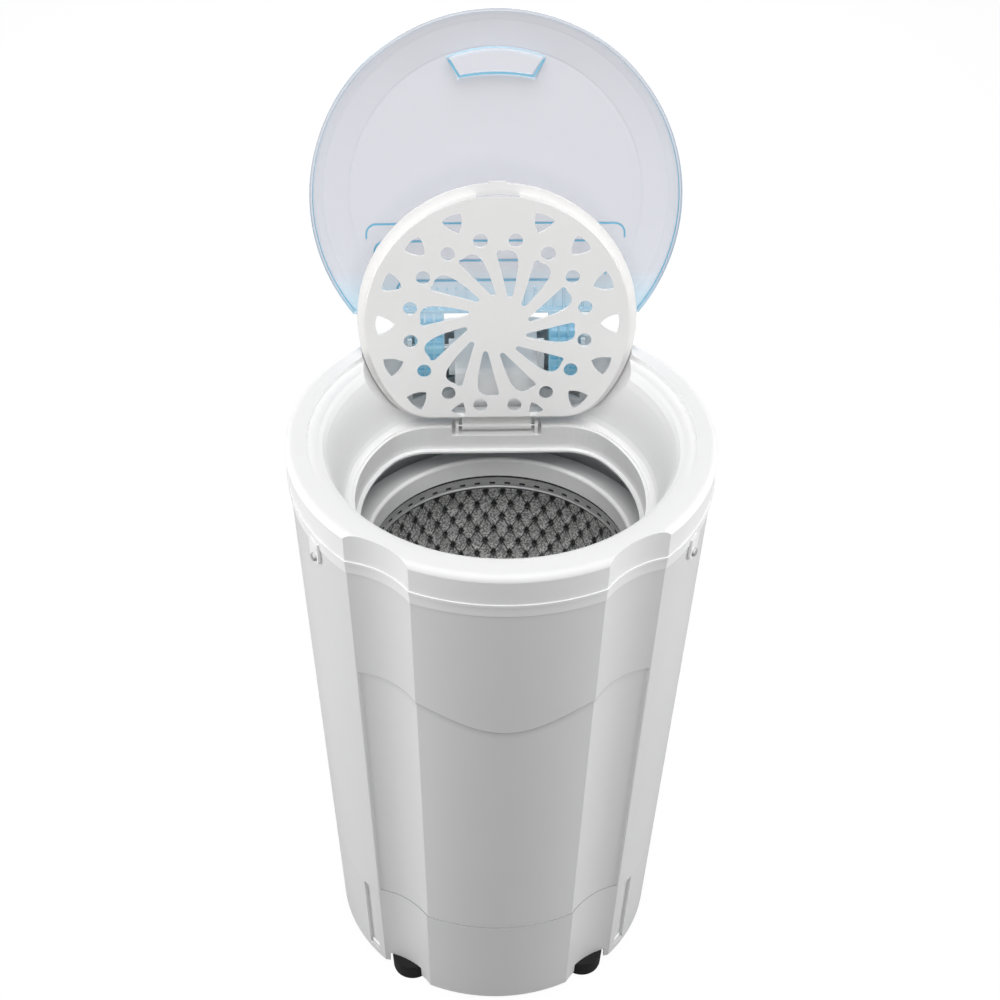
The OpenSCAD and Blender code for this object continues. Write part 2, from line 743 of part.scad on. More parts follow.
module hinge_leg() {
    bay = (leg_w - leg_rib_t)/leg_bays;
    difference() {
        union() {
            difference() {
                profile_x(leg_profile, leg_x - leg_w/2, leg_x + leg_w/2);
                for (i = [0:leg_bays - 1])
                    profile_x(leg_hollow, leg_x - leg_w/2 + leg_rib_t + i*bay, leg_x - leg_w/2 + (i + 1)*bay);
            }
            for (y = leg_cross_ribs)
                box(leg_x - leg_w/2, leg_x + leg_w/2, y, y + leg_rib_t,
                    lid_hinge_z - leg_depth, min(lid_hinge_z + leg_depth - 1, y > lid_hinge_y ? leg_gap_z - 1 : far*2));
            rod_x(leg_x - leg_w/2, leg_x + leg_w/2, lid_hinge_y, lid_hinge_z, barrel_r);
        }
        rod_x(leg_x - leg_w, leg_x + leg_w, lid_hinge_y, lid_hinge_z, lid_pin_r + run_gap);
    }
}

switch_finger_z = 577;

// Shallow terraces moulded into the lid's inner face, widest first: [half width, front y].
terraces = [[117, 26], [110, 42], [100, 60], [90, 78]];
terrace_step = 0.7;
terrace_corner = 9;
module terrace_area(half_w, y) {
    box(-half_w, half_w, y + terrace_corner, far, lid_z, far*2);
    box(terrace_corner - half_w, half_w - terrace_corner, y, far, lid_z, far*2);
    for (x = [terrace_corner - half_w, half_w - terrace_corner])
        translate([x, y + terrace_corner, lid_z]) cylinder(h = far, r = terrace_corner);
}

rib_first_x = 27;
rib_pitch = 8.7;
rib_count = 8;
rib_front_y = 84;
module lid_ribs() {
    intersection() {
        lid_dome(1);
        for (side = [-1, 1], i = [0:rib_count - 1])
            translate([side*(rib_first_x + i*rib_pitch) - 0.9, rib_front_y, lid_z + 7])
                cube([1.8, lid_chord_y - rib_front_y - 1, 30]);
    }
}

module lid_closed() {
    difference() {
        union() {
            difference() {
                lid_dome(0);
                difference() {
                    lid_dome(lid_wall);
                    behind(lid_chord_y - lid_wall);
                    for (k = [0:len(terraces) - 1])
                        difference() {
                            terrace_area(terraces[k].x, terraces[k].y);
                            lid_dome(lid_wall + (k + 1)*terrace_step);
                        }
                }
                behind(lid_chord_y);
            }
            lid_ribs();
            grip(lid_wall, grip_floor_z - lid_wall, lid_z + 14);
            intersection() {
                grip(lid_wall, grip_floor_z - lid_wall, lid_z + 30);
                lid_dome(0);
            }
        }
        grip(0, grip_floor_z, lid_z + 40);
    }
    for (side = [0, 1]) mirror([side, 0, 0]) hinge_leg();
    // finger that presses the lid switch
    profile_x([
        [lid_chord_y - 1, lid_z + 1], [lid_chord_y - 1, lid_z + 8], [lid_chord_y + 4, lid_z + 8],
        [plunger_y + 4, switch_finger_z + 3.5], [plunger_y + 4, switch_finger_z], [plunger_y - 4, switch_finger_z]
    ], -5, 5);
}

module hinged(y, z, angle) {
    translate([0, y, z]) rotate([-angle, 0, 0]) translate([0, -y, -z]) children();
}

module outer_lid() color(lid_blue) hinged(lid_hinge_y, lid_hinge_z, lid_open) lid_closed();

module outer_lid_hinge_pins() color(steel)
    for (side = [0, 1]) mirror([side, 0, 0])
        rod_x(console_half_w + 0.5, slot_out_x + cheek_t, lid_hinge_y, lid_hinge_z, lid_pin_r);

// --- Inner lid ---
inner_top_z = inner_hinge_z + 1;
inner_chord_y = mouth_flat_y - 1.5;
inner_corner_r = mouth_corner_r - 2;
plate_z = inner_top_z - inner_depth;
plate_chord_y = inner_chord_y - 7;
plate_corner_r = inner_corner_r - 7;
knuckle_r = 4;
petals = 12;
petal_in_r = 28;
petal_tip_r = 69;
petal_sweep = 23;
round_holes = 16;
round_hole_ring_r = 79.5;
round_hole_r = 6.3;
tri_ring_r = 102;
tri_side_r = 24;

// One leaf-shaped opening, in a pinwheel round the solid hub: a nearly straight side, and a bowed one.
petal_root = polar(petal_in_r, petal_sweep);
petal_chord = polar(petal_tip_r, 0) - petal_root;
petal_len = norm(petal_chord);
module petal() {
    bowed = [[petal_len - 1, 3], [petal_len - 1, 25], [0.45*petal_len, 12], [1, 2.6]];
    translate(petal_root) rotate([0, 0, atan2(petal_chord.y, petal_chord.x)])
        linear_extrude(far, center = true) polygon(concat(
            [for (i = [0:10]) bezier(bowed, i/10)],
            arc_points(2, 0.4, 2.4, 115, 270, 4),
            arc_points(petal_len - 3, 1, 3, 270, 360, 4)
        ));
}

// A rounded triangle that points to the hub: the space three discs share.
module tri_hole(size) {
    intersection_for(a = [0, 120, 240])
        rotate([0, 0, a]) translate([size - tri_side_r, 0, 0])
            cylinder(h = far, r = tri_side_r, center = true);
}

module lid_holes() {
    for (i = [0:petals - 1]) rotate([0, 0, i*360/petals - 90]) petal();
    for (i = [0:round_holes - 1]) rotate([0, 0, (i + 0.5)*360/round_holes])
        translate([round_hole_ring_r, 0, 0]) cylinder(h = far, r = round_hole_r, center = true);
    for (side = [-1, 1], i = [1:6]) rotate([0, 0, side*i*360/round_holes - 90])
        translate([tri_ring_r, 0, 0]) tri_hole(7);
    for (side = [-1, 1]) rotate([0, 0, side*157.5 - 90]) translate([tri_ring_r - 12.5, 0, 0]) tri_hole(5);
}

module inner_lid_closed() {
    difference() {
        union() {
            d_solid(inner_r, inner_chord_y, inner_corner_r, inner_top_z - inner_flange_t, inner_top_z);
            d_solid(plate_r, plate_chord_y, plate_corner_r, plate_z, inner_top_z - 1);
        }
        d_solid(plate_r - plate_t, plate_chord_y - plate_t, plate_corner_r - plate_t,
            plate_z + plate_t, inner_top_z + 1);
        intersection() {
            translate([0, 0, plate_z]) lid_holes();
            box(-plate_r, plate_r, -plate_r, plate_r, plate_z - 1, plate_z + plate_t + 1);
        }
        // finger window in the front wall
        box(-19, 19, -plate_r - 3, -plate_r + 8, plate_z + plate_t, inner_top_z - inner_flange_t);
    }
    // catch tab on the flange
    box(-8, 8, -inner_r - 1.6, -inner_r + 3, inner_top_z - inner_flange_t, inner_top_z - 0.5);
    difference() {
        union() {
            rod_x(-lug_in_x + 3, lug_in_x - 3, inner_hinge_y, inner_hinge_z, knuckle_r);
            box(-lug_in_x + 3, lug_in_x - 3, inner_chord_y - 1, inner_hinge_y, inner_top_z - inner_flange_t, inner_top_z);
        }
        rod_x(-lug_in_x, lug_in_x, inner_hinge_y, inner_hinge_z, inner_pin_r + run_gap);
    }
}

module inner_lid() color(white) hinged(inner_hinge_y, inner_hinge_z, inner_open) inner_lid_closed();

module inner_lid_hinge_rod() color(steel)
    rod_x(-lug_in_x - lug_t, lug_in_x + lug_t, inner_hinge_y, inner_hinge_z, inner_pin_r);

// --- Lid switch ---
plunger_travel = 3;
plunger_top_z = switch_finger_z + plunger_travel - seat_gap;
module lid_switch() color([0.2, 0.2, 0.22])
    difference() {
        box(-switch_half_w, switch_half_w, switch_front_y, switch_rear_y, switch_z, switch_z + switch_h);
        translate([0, plunger_y, switch_z + switch_h - 8]) cylinder(h = 10, r = plunger_r + slide_gap);
    }
module switch_plunger() color(white)
    translate([0, plunger_y, switch_z + switch_h - 8 + plunger_travel + 0.5])
        cylinder(h = plunger_top_z - (switch_z + switch_h - 8 + plunger_travel + 0.5), r = plunger_r);

// --- Spinning drum ---
hub_r = 70;
hub_top_z = drum_floor_z - drum_sheet;
hub_low_z = 214;
drum_corner_r = 10;
ring_seat_z = 442;
ring_low_r = drum_neck_r + drum_sheet + seat_gap;
neck_top_z = 449;
hole_rows = 5;
hole_columns = 24;

module drum_section(grow) {
    rotate_extrude($fn = 128) polygon(concat(
        [[0, drum_floor_z - grow], [drum_r - drum_corner_r, drum_floor_z - grow]],
        arc_points(drum_r - drum_corner_r, drum_floor_z + drum_corner_r, drum_corner_r + grow, -90, 0, 5),
        [
            [drum_r + grow, drum_top_z + 0.6*grow], [drum_neck_r + grow, ring_seat_z - 2 + 0.6*grow],
            [drum_neck_r + grow, neck_top_z + (grow > 0 ? 0 : 1)], [0, neck_top_z + (grow > 0 ? 0 : 1)]
        ]
    ));
}

module spin_basket() color(steel)
    difference() {
        drum_section(drum_sheet);
        drum_section(0);
        translate([0, 0, drum_floor_z - 5]) cylinder(h = 10, r = drum_shaft_r + seat_gap);
        for (row = [0:hole_rows - 1], column = [0:hole_columns - 1])
            facing((column + (row % 2)/2)*360/hole_columns, drum_r - 5,
                drum_floor_z + 26 + row*(drum_top_z - drum_floor_z - 40)/(hole_rows - 1))
                cylinder(h = 10, r = drain_hole_r);
    }

module balance_ring() color(white)
    rotate_extrude($fn = 128) polygon(concat(
        [
            [ring_low_r, ring_seat_z], [ring_out_r - 3, ring_seat_z], [ring_out_r, ring_seat_z + 3],
            [ring_out_r, ring_top_z - 12], [ring_out_r - 2, ring_top_z - 9.6]
        ],
        arc_points(ring_in_r + 3, ring_top_z - 3, 3, 75, 180, 5),
        [[ring_in_r, neck_top_z + seat_gap], [ring_low_r, neck_top_z + seat_gap]]
    ));

module basket_hub() color([0.7, 0.71, 0.73])
    difference() {
        union() {
            translate([0, 0, hub_top_z - 5]) cylinder(h = 5, r = hub_r);
            translate([0, 0, hub_low_z]) cylinder(h = hub_top_z - hub_low_z, r = 18);
            for (i = [0:5]) rotate([0, 0, i*60])
                profile_x([[0, hub_low_z + 8], [0, hub_top_z - 1], [hub_r - 4, hub_top_z - 1],
                    [hub_r - 4, hub_top_z - 7]], -2, 2);
        }
        translate([0, 0, hub_low_z - 1]) cylinder(h = 60, r = drum_shaft_r + 0.02);
    }

module hub_cap() color([0.85, 0.86, 0.88])
    difference() {
        rotate_extrude() polygon([
            [0, drum_floor_z + seat_gap], [26, drum_floor_z + seat_gap], [26, drum_floor_z + 4],
            [22, drum_floor_z + 9], [10, drum_floor_z + 13], [0, drum_floor_z + 14]
        ]);
        translate([0, 0, drum_floor_z - 1]) cylinder(h = 8, r = drum_shaft_r + seat_gap);
    }

// --- Shaft, motor and its mount ---
flange_z = mount_z + wall;
flange_r = 82;
can_wall = 3;
bearing_r = 11;
bearing_h = 7;
bolt_angles = [60, 180, 300];
bolt_ring_r = 75;
bolt_r = 2.5;
stub_r = spring_stub_r;
cup_t = 3;
bush_z = 192;
bush_h = 16;
bush_r = 14;
bearing_low_z = motor_z + can_wall + 0.5;
bearing_high_z = motor_top_z - can_wall - bearing_h - 0.5;

module drive_shaft() color(steel) {
    translate([0, 0, bearing_low_z + 0.5]) cylinder(h = motor_top_z + 6 - bearing_low_z, r = shaft_r);
    translate([0, 0, motor_top_z + 6]) cylinder(h = drum_floor_z + 4 - motor_top_z - 6, r = drum_shaft_r);
}

module motor_housing() color([0.45, 0.47, 0.5])
    difference() {
        union() {
            translate([0, 0, motor_z]) cylinder(h = motor_top_z - motor_z, r = motor_r);
            translate([0, 0, flange_z]) cylinder(h = 3, r = flange_r);
            standing(brake_post_angle, brake_post_ring_r, motor_top_z - bite)
            {
                cylinder(h = brake_z + 14 - motor_top_z, r = brake_post_r);
                cylinder(h = brake_z - 5 - seat_gap - motor_top_z, r = 6.5);
                translate([0, 0, brake_z + 5.2 - motor_top_z]) cylinder(h = 2, r = 6);
            }
        }
        difference() {
            translate([0, 0, motor_z + can_wall]) cylinder(h = motor_top_z - motor_z - 2*can_wall, r = motor_r - can_wall);
            ring(bearing_r + 4, bearing_r, motor_z, bearing_low_z + bearing_h);
            ring(bearing_r + 4, bearing_r, bearing_high_z, motor_top_z);
        }
        translate([0, 0, motor_top_z - 10]) cylinder(h = 20, r = shaft_r + 1);
        for (a = bolt_angles) standing(a, bolt_ring_r, flange_z - 1) cylinder(h = 10, r = bolt_r + 0.2);
        // cooling slots in the can
        for (i = [0:11]) rotate([0, 0, i*30]) box(-3, 3, motor_r - 6, motor_r + 2, motor_top_z - 24, motor_top_z - 8);
    }

module motor_stator() color([0.55, 0.35, 0.2])
    difference() {
        rotate_extrude() polygon([
            [41, 66], [44, 56], [58, 56], [60, 62], [motor_r - can_wall - seat_gap, 64],
            [motor_r - can_wall - seat_gap, 106], [60, 108], [58, 114], [44, 114], [41, 106]
        ]);
        for (i = [0:11]) rotate([0, 0, i*30]) box(-2, 2, 30, 46, 50, 120);
    }

module motor_rotor() color([0.6, 0.6, 0.62])
    difference() {
        union() {
            translate([0, 0, 66]) cylinder(h = 40, r = 40);
            ring(38, 30, 62, 110);
        }
        translate([0, 0, 50]) cylinder(h = 80, r = shaft_r + 0.02);
    }

module motor_bearings() color(steel)
    for (z = [bearing_low_z, bearing_high_z])
        ring(bearing_r - 0.02, shaft_r + run_gap, z, z + bearing_h - 0.5);

module motor_mount_plate() color([0.5, 0.52, 0.55])
    difference() {
        union() {
            translate([0, 0, mount_z]) cylinder(h = wall, r = flange_r + 2);
            for (a = spring_angles) rotate([0, 0, a - 90]) {
                box(0, spring_ring_r, -18, 18, mount_z, mount_z + wall);
                translate([spring_ring_r, 0, mount_z]) cylinder(h = wall, r = 18);
                translate([spring_ring_r, 0, mount_z - 10]) cylinder(h = 11, r = stub_r);
            }
        }
        translate([0, 0, mount_z - 1]) cylinder(h = 10, r = motor_r + 0.4);
        for (a = bolt_angles) standing(a, bolt_ring_r, mount_z - 1) cylinder(h = 10, r = bolt_r + 0.2);
    }

module mount_bolts() color(steel)
    for (a = bolt_angles) standing(a, bolt_ring_r) {
        translate([0, 0, flange_z + 3]) cylinder(h = 3.5, r = 4.5, $fn = 6);
        translate([0, 0, mount_z - 6]) cylinder(h = flange_z - mount_z + 9.5, r = bolt_r);
        translate([0, 0, mount_z - 4]) cylinder(h = 4, r = 4.5, $fn = 6);
    }

// --- Springs: one unbroken coil each, between two rubber cups ---
spring_low_z = spring_pad_z + cup_t;
spring_high_z = mount_z - cup_t;
coil_rings = 8;
coil_sides = 6;
coil_low = spring_low_z + spring_wire_r;
coil_pitch = (spring_high_z - spring_wire_r - coil_low)/spring_turns;

module coil(mean_r, wire_r, pitch, turns) {
    steps = coil_rings*turns;
    rise = atan(pitch/(2*PI*mean_r));
    rings = [for (i = [0:steps]) let(a = 360*i/coil_rings, c = [mean_r*cos(a), mean_r*sin(a), pitch*i/coil_rings])
        for (k = [0:coil_sides - 1]) let(b = 360*k/coil_sides + 90)
            c + wire_r*cos(b)*[cos(a), sin(a), 0]
              + wire_r*sin(b)*[sin(a)*sin(rise), -cos(a)*sin(rise), cos(rise)]];
    sides = [for (i = [0:steps - 1], k = [0:coil_sides - 1])
        let(p = i*coil_sides, q = p + coil_sides, n = (k + 1) % coil_sides)
            each [[p + k, q + k, q + n], [p + k, q + n, p + n]]];
    low_end = [for (k = [1:coil_sides - 2]) [0, k, k + 1]];
    top = steps*coil_sides;
    high_end = [for (k = [1:coil_sides - 2]) [top, top + k + 1, top + k]];
    polyhedron(rings, concat(sides, low_end, high_end));
}
echo(least_coil_gap = coil_pitch - 2*spring_wire_r);

module suspension_springs() color(steel)
    for (a = spring_angles) standing(a, spring_ring_r, coil_low) coil(spring_r, spring_wire_r, coil_pitch, spring_turns);

module spring_cups() color(black)
    for (a = spring_angles) standing(a, spring_ring_r) {
        ring(17, stub_r + seat_gap, spring_pad_z, spring_low_z);
        ring(spring_r - spring_wire_r - 0.5, stub_r + seat_gap, spring_low_z - bite, spring_low_z + 5);
        ring(17, stub_r + seat_gap, spring_high_z, mount_z);
        ring(spring_r - spring_wire_r - 0.5, stub_r + seat_gap, spring_high_z - 5, spring_high_z + bite);
    }

// --- Brake ---
brake_z = 162;
brake_post_angle = 155;
brake_post_ring_r = 58;
brake_post_r = 4;
brake_post = [brake_post_ring_r*sin(brake_post_angle), -brake_post_ring_r*cos(brake_post_angle)];
lever_y = brake_post.y;
lever_t = 8;
lever_end_x = -52;
pad_half_w = 13;

module brake_drum() color([0.5, 0.5, 0.52])
    difference() {
        union() {
            ring(brake_r, brake_r - 4, brake_z - 13, brake_z + 13);
            translate([0, 0, brake_z + 9]) cylinder(h = 4, r = brake_r);
            translate([0, 0, brake_z - 13]) cylinder(h = 26, r = 15);
        }
        translate([0, 0, brake_z - 20]) cylinder(h = 40, r = drum_shaft_r + 0.02);
    }

module brake_lever() color([0.6, 0.62, 0.65])
    difference() {
        union() {
            translate([brake_post.x, brake_post.y, brake_z - 5]) cylinder(h = 10, r = 7.5);
            box(lever_end_x, brake_post.x, lever_y - 1, lever_y + 4, brake_z - lever_t/2, brake_z + lever_t/2);
            translate([lever_end_x, lever_y + 1.5, brake_z - lever_t/2]) cylinder(h = lever_t, r = 6);
        }
        translate([brake_post.x, brake_post.y, brake_z - 10]) cylinder(h = 20, r = brake_post_r + run_gap);
        translate([lever_end_x, lever_y + 1.5, brake_z - 10]) cylinder(h = 20, r = 2.2);
    }

module brake_pad() color([0.25, 0.18, 0.14])
    difference() {
        box(-pad_half_w, pad_half_w, brake_r - 4, lever_y - 1, brake_z - 6, brake_z + 6);
        translate([0, 0, brake_z - 10]) cylinder(h = 20, r = brake_r + 0.35);
    }

// Outer sheath of the brake cable, held along the tub from the hinge slot to the lever.
cable_r = 2.5;
cable_sides = 8;
cable_route = [
    [-60, 162, 548], [-60, 160.5, 530], [-60, 158.5, 512], [-60, 154.4, 480], [-60, 151, 400],
    [-60, 146.4, 300], [-60, 143, 230], [-60, 140, 205], [-59, 133, 190], [-57, 123, 178],
    [-55, 110, 169], [-53.5, 97, 164], [-52.5, 88, 162.3], [-52, 82, 162], [-52, 76, 162]
];
function unit(v) = v/norm(v);
module swept_tube(points, r, sides) {
    last = len(points) - 1;
    dirs = [for (i = [0:last]) unit(points[min(i + 1, last)] - points[max(i - 1, 0)])];
    across = [1, 0, 0];
    rings = [for (i = [0:last]) let(u = unit(cross(dirs[i], across)), v = cross(dirs[i], u))
        for (k = [0:sides - 1]) points[i] + r*cos(360*k/sides)*u + r*sin(360*k/sides)*v];
    walls = [for (i = [0:last - 1], k = [0:sides - 1])
        let(p = i*sides, q = p + sides, n = (k + 1) % sides) each [[p + k, q + n, q + k], [p + k, p + n, q + n]]];
    low_end = [for (k = [1:sides - 2]) [0, k + 1, k]];
    top = last*sides;
    high_end = [for (k = [1:sides - 2]) [top, top + k, top + k + 1]];
    polyhedron(rings, concat(walls, low_end, high_end));
}
module brake_cable() color(black) swept_tube(cable_route, cable_r, cable_sides);

// --- Tub and drain ---
seal_ring_r = 40;
tub_floor_t = 3;
tub_neck_z = tub_z + 6;
flange_w = 3.5;
outlet_low_z = tub_z - 24;
hose_wall = 2.5;
hose_in_r = spigot_r + seat_gap;
hose_out_r = hose_in_r + hose_wall;
hose_bend_r = 20;

module outer_tub() color([0.88, 0.9, 0.92])
    difference() {
        union() {
            rotate_extrude($fn = 128) polygon([
                [seal_ring_r, tub_neck_z], [tub_low_r - 10, tub_z], [tub_low_r + tub_wall - 3, tub_z],
                [tub_low_r + tub_wall, tub_z + 3], [tub_high_r + tub_wall - 0.1, tub_top_z - 3],
                [tub_high_r + tub_wall + flange_w, tub_top_z - 3], [tub_high_r + tub_wall + flange_w, tub_top_z],
                [tub_high_r, tub_top_z], [tub_low_r, tub_z + tub_floor_t + 3],
                [tub_low_r - 3, tub_z + tub_floor_t], [tub_low_r - 10, tub_z + tub_floor_t],
                [seal_ring_r, tub_neck_z + tub_floor_t]
            ]);
            translate([0, drain_y, outlet_low_z]) cylinder(h = tub_z + 2 - outlet_low_z, r = spigot_r);
            // holders for the brake cable, under the floor and beside the top edge
            box(-59, -45, 79, 83, brake_z - 6, tub_z + 3.5);
            box(-66, -54, tub_high_r - 10, tub_high_r + 4, tub_top_z - 3, tub_top_z);
        }
        translate([0, drain_y, outlet_low_z - 1]) cylinder(h = 60, r = spigot_bore_r);
        translate([0, 0, tub_top_z - 1]) cylinder(h = 5, r = tub_high_r);
        translate([-52, 70, brake_z]) rotate([-90, 0, 0]) cylinder(h = 20, r = cable_r + seat_gap);
        translate([-60, 160.4, tub_top_z - 10]) rotate([-5, 0, 0]) cylinder(h = 20, r = cable_r + 0.2);
    }

module shaft_seal() color([0.15, 0.15, 0.16])
    rotate_extrude() polygon([
        [bush_r + 0.02, bush_z + 2], [bush_r + 3, bush_z + 2], [bush_r + 3, bush_z + 8], [22, bush_z + 4],
        [28, bush_z + 14], [seal_ring_r - 4, bush_z + 13], [seal_ring_r + 6, tub_neck_z - 2.6],
        [seal_ring_r + 6, tub_neck_z - 0.7], [seal_ring_r - 0.2, tub_neck_z - 0.4],
        [seal_ring_r - 0.2, tub_neck_z + 4], [seal_ring_r - 3, tub_neck_z + 4], [seal_ring_r - 6, bush_z + 16],
        [27, bush_z + 17], [22, bush_z + 7], [bush_r + 3, bush_z + 11], [bush_r + 0.02, bush_z + 11]
    ]);

module seal_bush() color([0.72, 0.58, 0.35]) ring(bush_r, drum_shaft_r + run_gap, bush_z, bush_z + bush_h);

hose_top_z = tub_z - 4;
module drain_hose() color(black)
    difference() {
        union() {
            translate([0, drain_y, spigot_z + hose_bend_r]) cylinder(h = hose_top_z - spigot_z - hose_bend_r, r = hose_out_r);
            hose_bend(hose_out_r);
            translate([0, drain_y + hose_bend_r, spigot_z]) rotate([-90, 0, 0]) cylinder(h = 5, r = hose_out_r);
        }
        translate([0, drain_y, spigot_z + hose_bend_r - bite]) cylinder(h = far, r = hose_in_r);
        hose_bend(hose_in_r);
        translate([0, drain_y + hose_bend_r - bite, spigot_z]) rotate([-90, 0, 0]) cylinder(h = 20, r = hose_in_r);
    }
module hose_bend(r) {
    translate([0, drain_y + hose_bend_r, spigot_z + hose_bend_r]) rotate([-90, 0, -90])
        rotate_extrude(angle = 90) translate([hose_bend_r, 0]) circle(r = r);
}

spigot_out_y = spigot_flat_y + 3.5;
module drain_spigot() color(white)
    translate([0, 0, spigot_z]) rotate([-90, 0, 0]) difference() {
        union() {
            translate([0, 0, drain_y + hose_bend_r]) cylinder(h = spigot_out_y + spigot_len - drain_y - hose_bend_r, r = spigot_r);
            translate([0, 0, spigot_flat_y]) cylinder(h = 3.5, r = spigot_flange_r);
        }
        translate([0, 0, 100]) cylinder(h = 150, r = spigot_bore_r);
    }

// --- Capacitor and mains inlet ---
module capacitor() color([0.8, 0.82, 0.84])
    translate([capacitor_pos.x, capacitor_pos.y, floor_z + wall]) {
        cylinder(h = 62, r = capacitor_r);
        for (x = [-6, 6]) translate([x - 1, -3, 61]) cube([2, 6, 9]);
    }

module power_gland() color(black)
    facing(gland_angle, cone_r(gland_z), gland_z)
        difference() {
            union() {
                translate([0, 0, -10]) cylinder(h = 10.5, r = gland_r);
                translate([0, 0, 0.4]) cylinder(h = 3, r = 13);
                translate([0, 0, 3.3]) cylinder(h = 8, r1 = 10, r2 = 7.5);
                translate([0, 0, -11.5]) cylinder(h = 4, r = 12, $fn = 6);
            }
            translate([0, 0, -20]) cylinder(h = 40, r = 3.8);
        }

body_shell();
base_housing();
rubber_feet();
foot_screws();
top_deck();
deck_screws();
outer_lid();
outer_lid_hinge_pins();
inner_lid();
inner_lid_hinge_rod();
lid_switch();
switch_plunger();
spin_basket();
balance_ring();
basket_hub();
hub_cap();
drive_shaft();
outer_tub();
shaft_seal();
seal_bush();
drain_hose();
drain_spigot();
motor_housing();
motor_stator();
motor_rotor();
motor_bearings();
motor_mount_plate();
mount_bolts();
suspension_springs();
spring_cups();
brake_drum();
brake_lever();
brake_pad();
brake_cable();
capacitor();
power_gland();
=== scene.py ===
# Portable laundry spin dryer, both lids standing open. Every piece is in metres, in the frame of the
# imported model.
import bpy
import math
from functools import partial
from mathutils import Matrix, Vector


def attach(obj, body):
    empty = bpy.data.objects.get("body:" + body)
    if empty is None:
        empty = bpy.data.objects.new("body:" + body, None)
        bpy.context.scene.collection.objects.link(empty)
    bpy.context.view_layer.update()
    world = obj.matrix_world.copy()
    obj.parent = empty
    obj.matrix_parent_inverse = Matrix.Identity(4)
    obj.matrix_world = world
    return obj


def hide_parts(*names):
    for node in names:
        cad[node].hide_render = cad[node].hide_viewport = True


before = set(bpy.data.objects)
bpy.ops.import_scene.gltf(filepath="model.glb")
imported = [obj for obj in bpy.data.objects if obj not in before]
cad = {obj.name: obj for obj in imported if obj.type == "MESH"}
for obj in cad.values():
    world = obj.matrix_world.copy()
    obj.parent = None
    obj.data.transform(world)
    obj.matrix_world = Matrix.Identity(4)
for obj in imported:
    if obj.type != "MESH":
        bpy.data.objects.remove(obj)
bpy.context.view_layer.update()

# --- Camera -------------------------------------------------------------------------------------
# The picture is taken from above the front, a little to the left of the middle, with a long lens.
eye = Vector((-0.0605, -1.3018, 1.5962))
turn, tip, roll = 0.04611, 0.69204, 0.01804
ahead = Vector((math.sin(turn) * math.cos(tip), math.cos(turn) * math.cos(tip), -math.sin(tip)))
side = Vector((math.cos(turn), -math.sin(turn), 0.0))
above = side.cross(ahead)
across = math.cos(roll) * side + math.sin(roll) * above
upward = math.cos(roll) * above - math.sin(roll) * side
lens = bpy.data.cameras.new("camera")
lens.sensor_width = 36.0
lens.lens = 69.06
lens.clip_end = 50.0
camera = bpy.data.objects.new("camera", lens)
bpy.context.scene.collection.objects.link(camera)
camera.matrix_world = Matrix((
    (across.x, upward.x, -ahead.x, eye.x),
    (across.y, upward.y, -ahead.y, eye.y),
    (across.z, upward.z, -ahead.z, eye.z),
    (0, 0, 0, 1),
))
bpy.context.scene.camera = camera
bpy.context.scene.view_settings.view_transform = "Standard"


# --- Casing: body shell, base housing and top deck ----------------------------------------------
# Three injection mouldings in glossy white plastic: the tapered body, the base that carries the feet,
# and the deck with its rolled rim, dish and collar. They are screwed together, so their seams show.
def fine_mould_group():
    """Faint waviness and fine grain of a moulded surface, as a mask for roughness and a normal."""
    group = bpy.data.node_groups.new("moulded surface", "ShaderNodeTree")
    sides = group.interface
    sides.new_socket("Wave scale", in_out="INPUT", socket_type="NodeSocketFloat").default_value = 18.0
    sides.new_socket("Grain scale", in_out="INPUT", socket_type="NodeSocketFloat").default_value = 900.0
    sides.new_socket("Depth", in_out="INPUT", socket_type="NodeSocketFloat").default_value = 0.05
    sides.new_socket("Mask", in_out="OUTPUT", socket_type="NodeSocketFloat")
    sides.new_socket("Normal", in_out="OUTPUT", socket_type="NodeSocketVector")
    nodes, wire = group.nodes, group.links.new
    given, out = nodes.new("NodeGroupInput"), nodes.new("NodeGroupOutput")
    place = nodes.new("ShaderNodeTexCoord")
    wave, grain = nodes.new("ShaderNodeTexNoise"), nodes.new("ShaderNodeTexNoise")
    wave.inputs["Detail"].default_value = 2.0
    grain.inputs["Detail"].default_value = 3.0
    for noise, socket in ((wave, "Wave scale"), (grain, "Grain scale")):
        wire(place.outputs["Object"], noise.inputs["Vector"])
        wire(given.outputs[socket], noise.inputs["Scale"])
    both = nodes.new("ShaderNodeMix")
    both.inputs[0].default_value = 0.25
    wire(wave.outputs[0], both.inputs[2])
    wire(grain.outputs[0], both.inputs[3])
    bump = nodes.new("ShaderNodeBump")
    bump.inputs["Distance"].default_value = 0.001
    wire(given.outputs["Depth"], bump.inputs["Strength"])
    wire(both.outputs[0], bump.inputs["Height"])
    wire(both.outputs[0], out.inputs["Mask"])
    wire(bump.outputs[0], out.inputs["Normal"])
    return group


moulded_surface = fine_mould_group()


def new_material(name):
    material = bpy.data.materials.new(name)
    material.use_nodes = True
    return material, material.node_tree.nodes, material.node_tree.links.new


def object_place(nodes, wire):
    """The X, Y and Z of a point in the object's own frame."""
    place, apart = nodes.new("ShaderNodeTexCoord"), nodes.new("ShaderNodeSeparateXYZ")
    wire(place.outputs["Object"], apart.inputs[0])
    return apart.outputs


def blend_colours(nodes, wire, mask, first, second):
    """Goes from the first colour to the second with the mask; each is three numbers or an output."""
    mix = nodes.new("ShaderNodeMix")
    mix.data_type = "RGBA"
    wire(mask, mix.inputs[0])
    for socket, colour in ((mix.inputs[6], first), (mix.inputs[7], second)):
        if isinstance(colour, tuple):
            socket.default_value = (*colour, 1)
        else:
            wire(colour, socket)
    return mix.outputs[2]


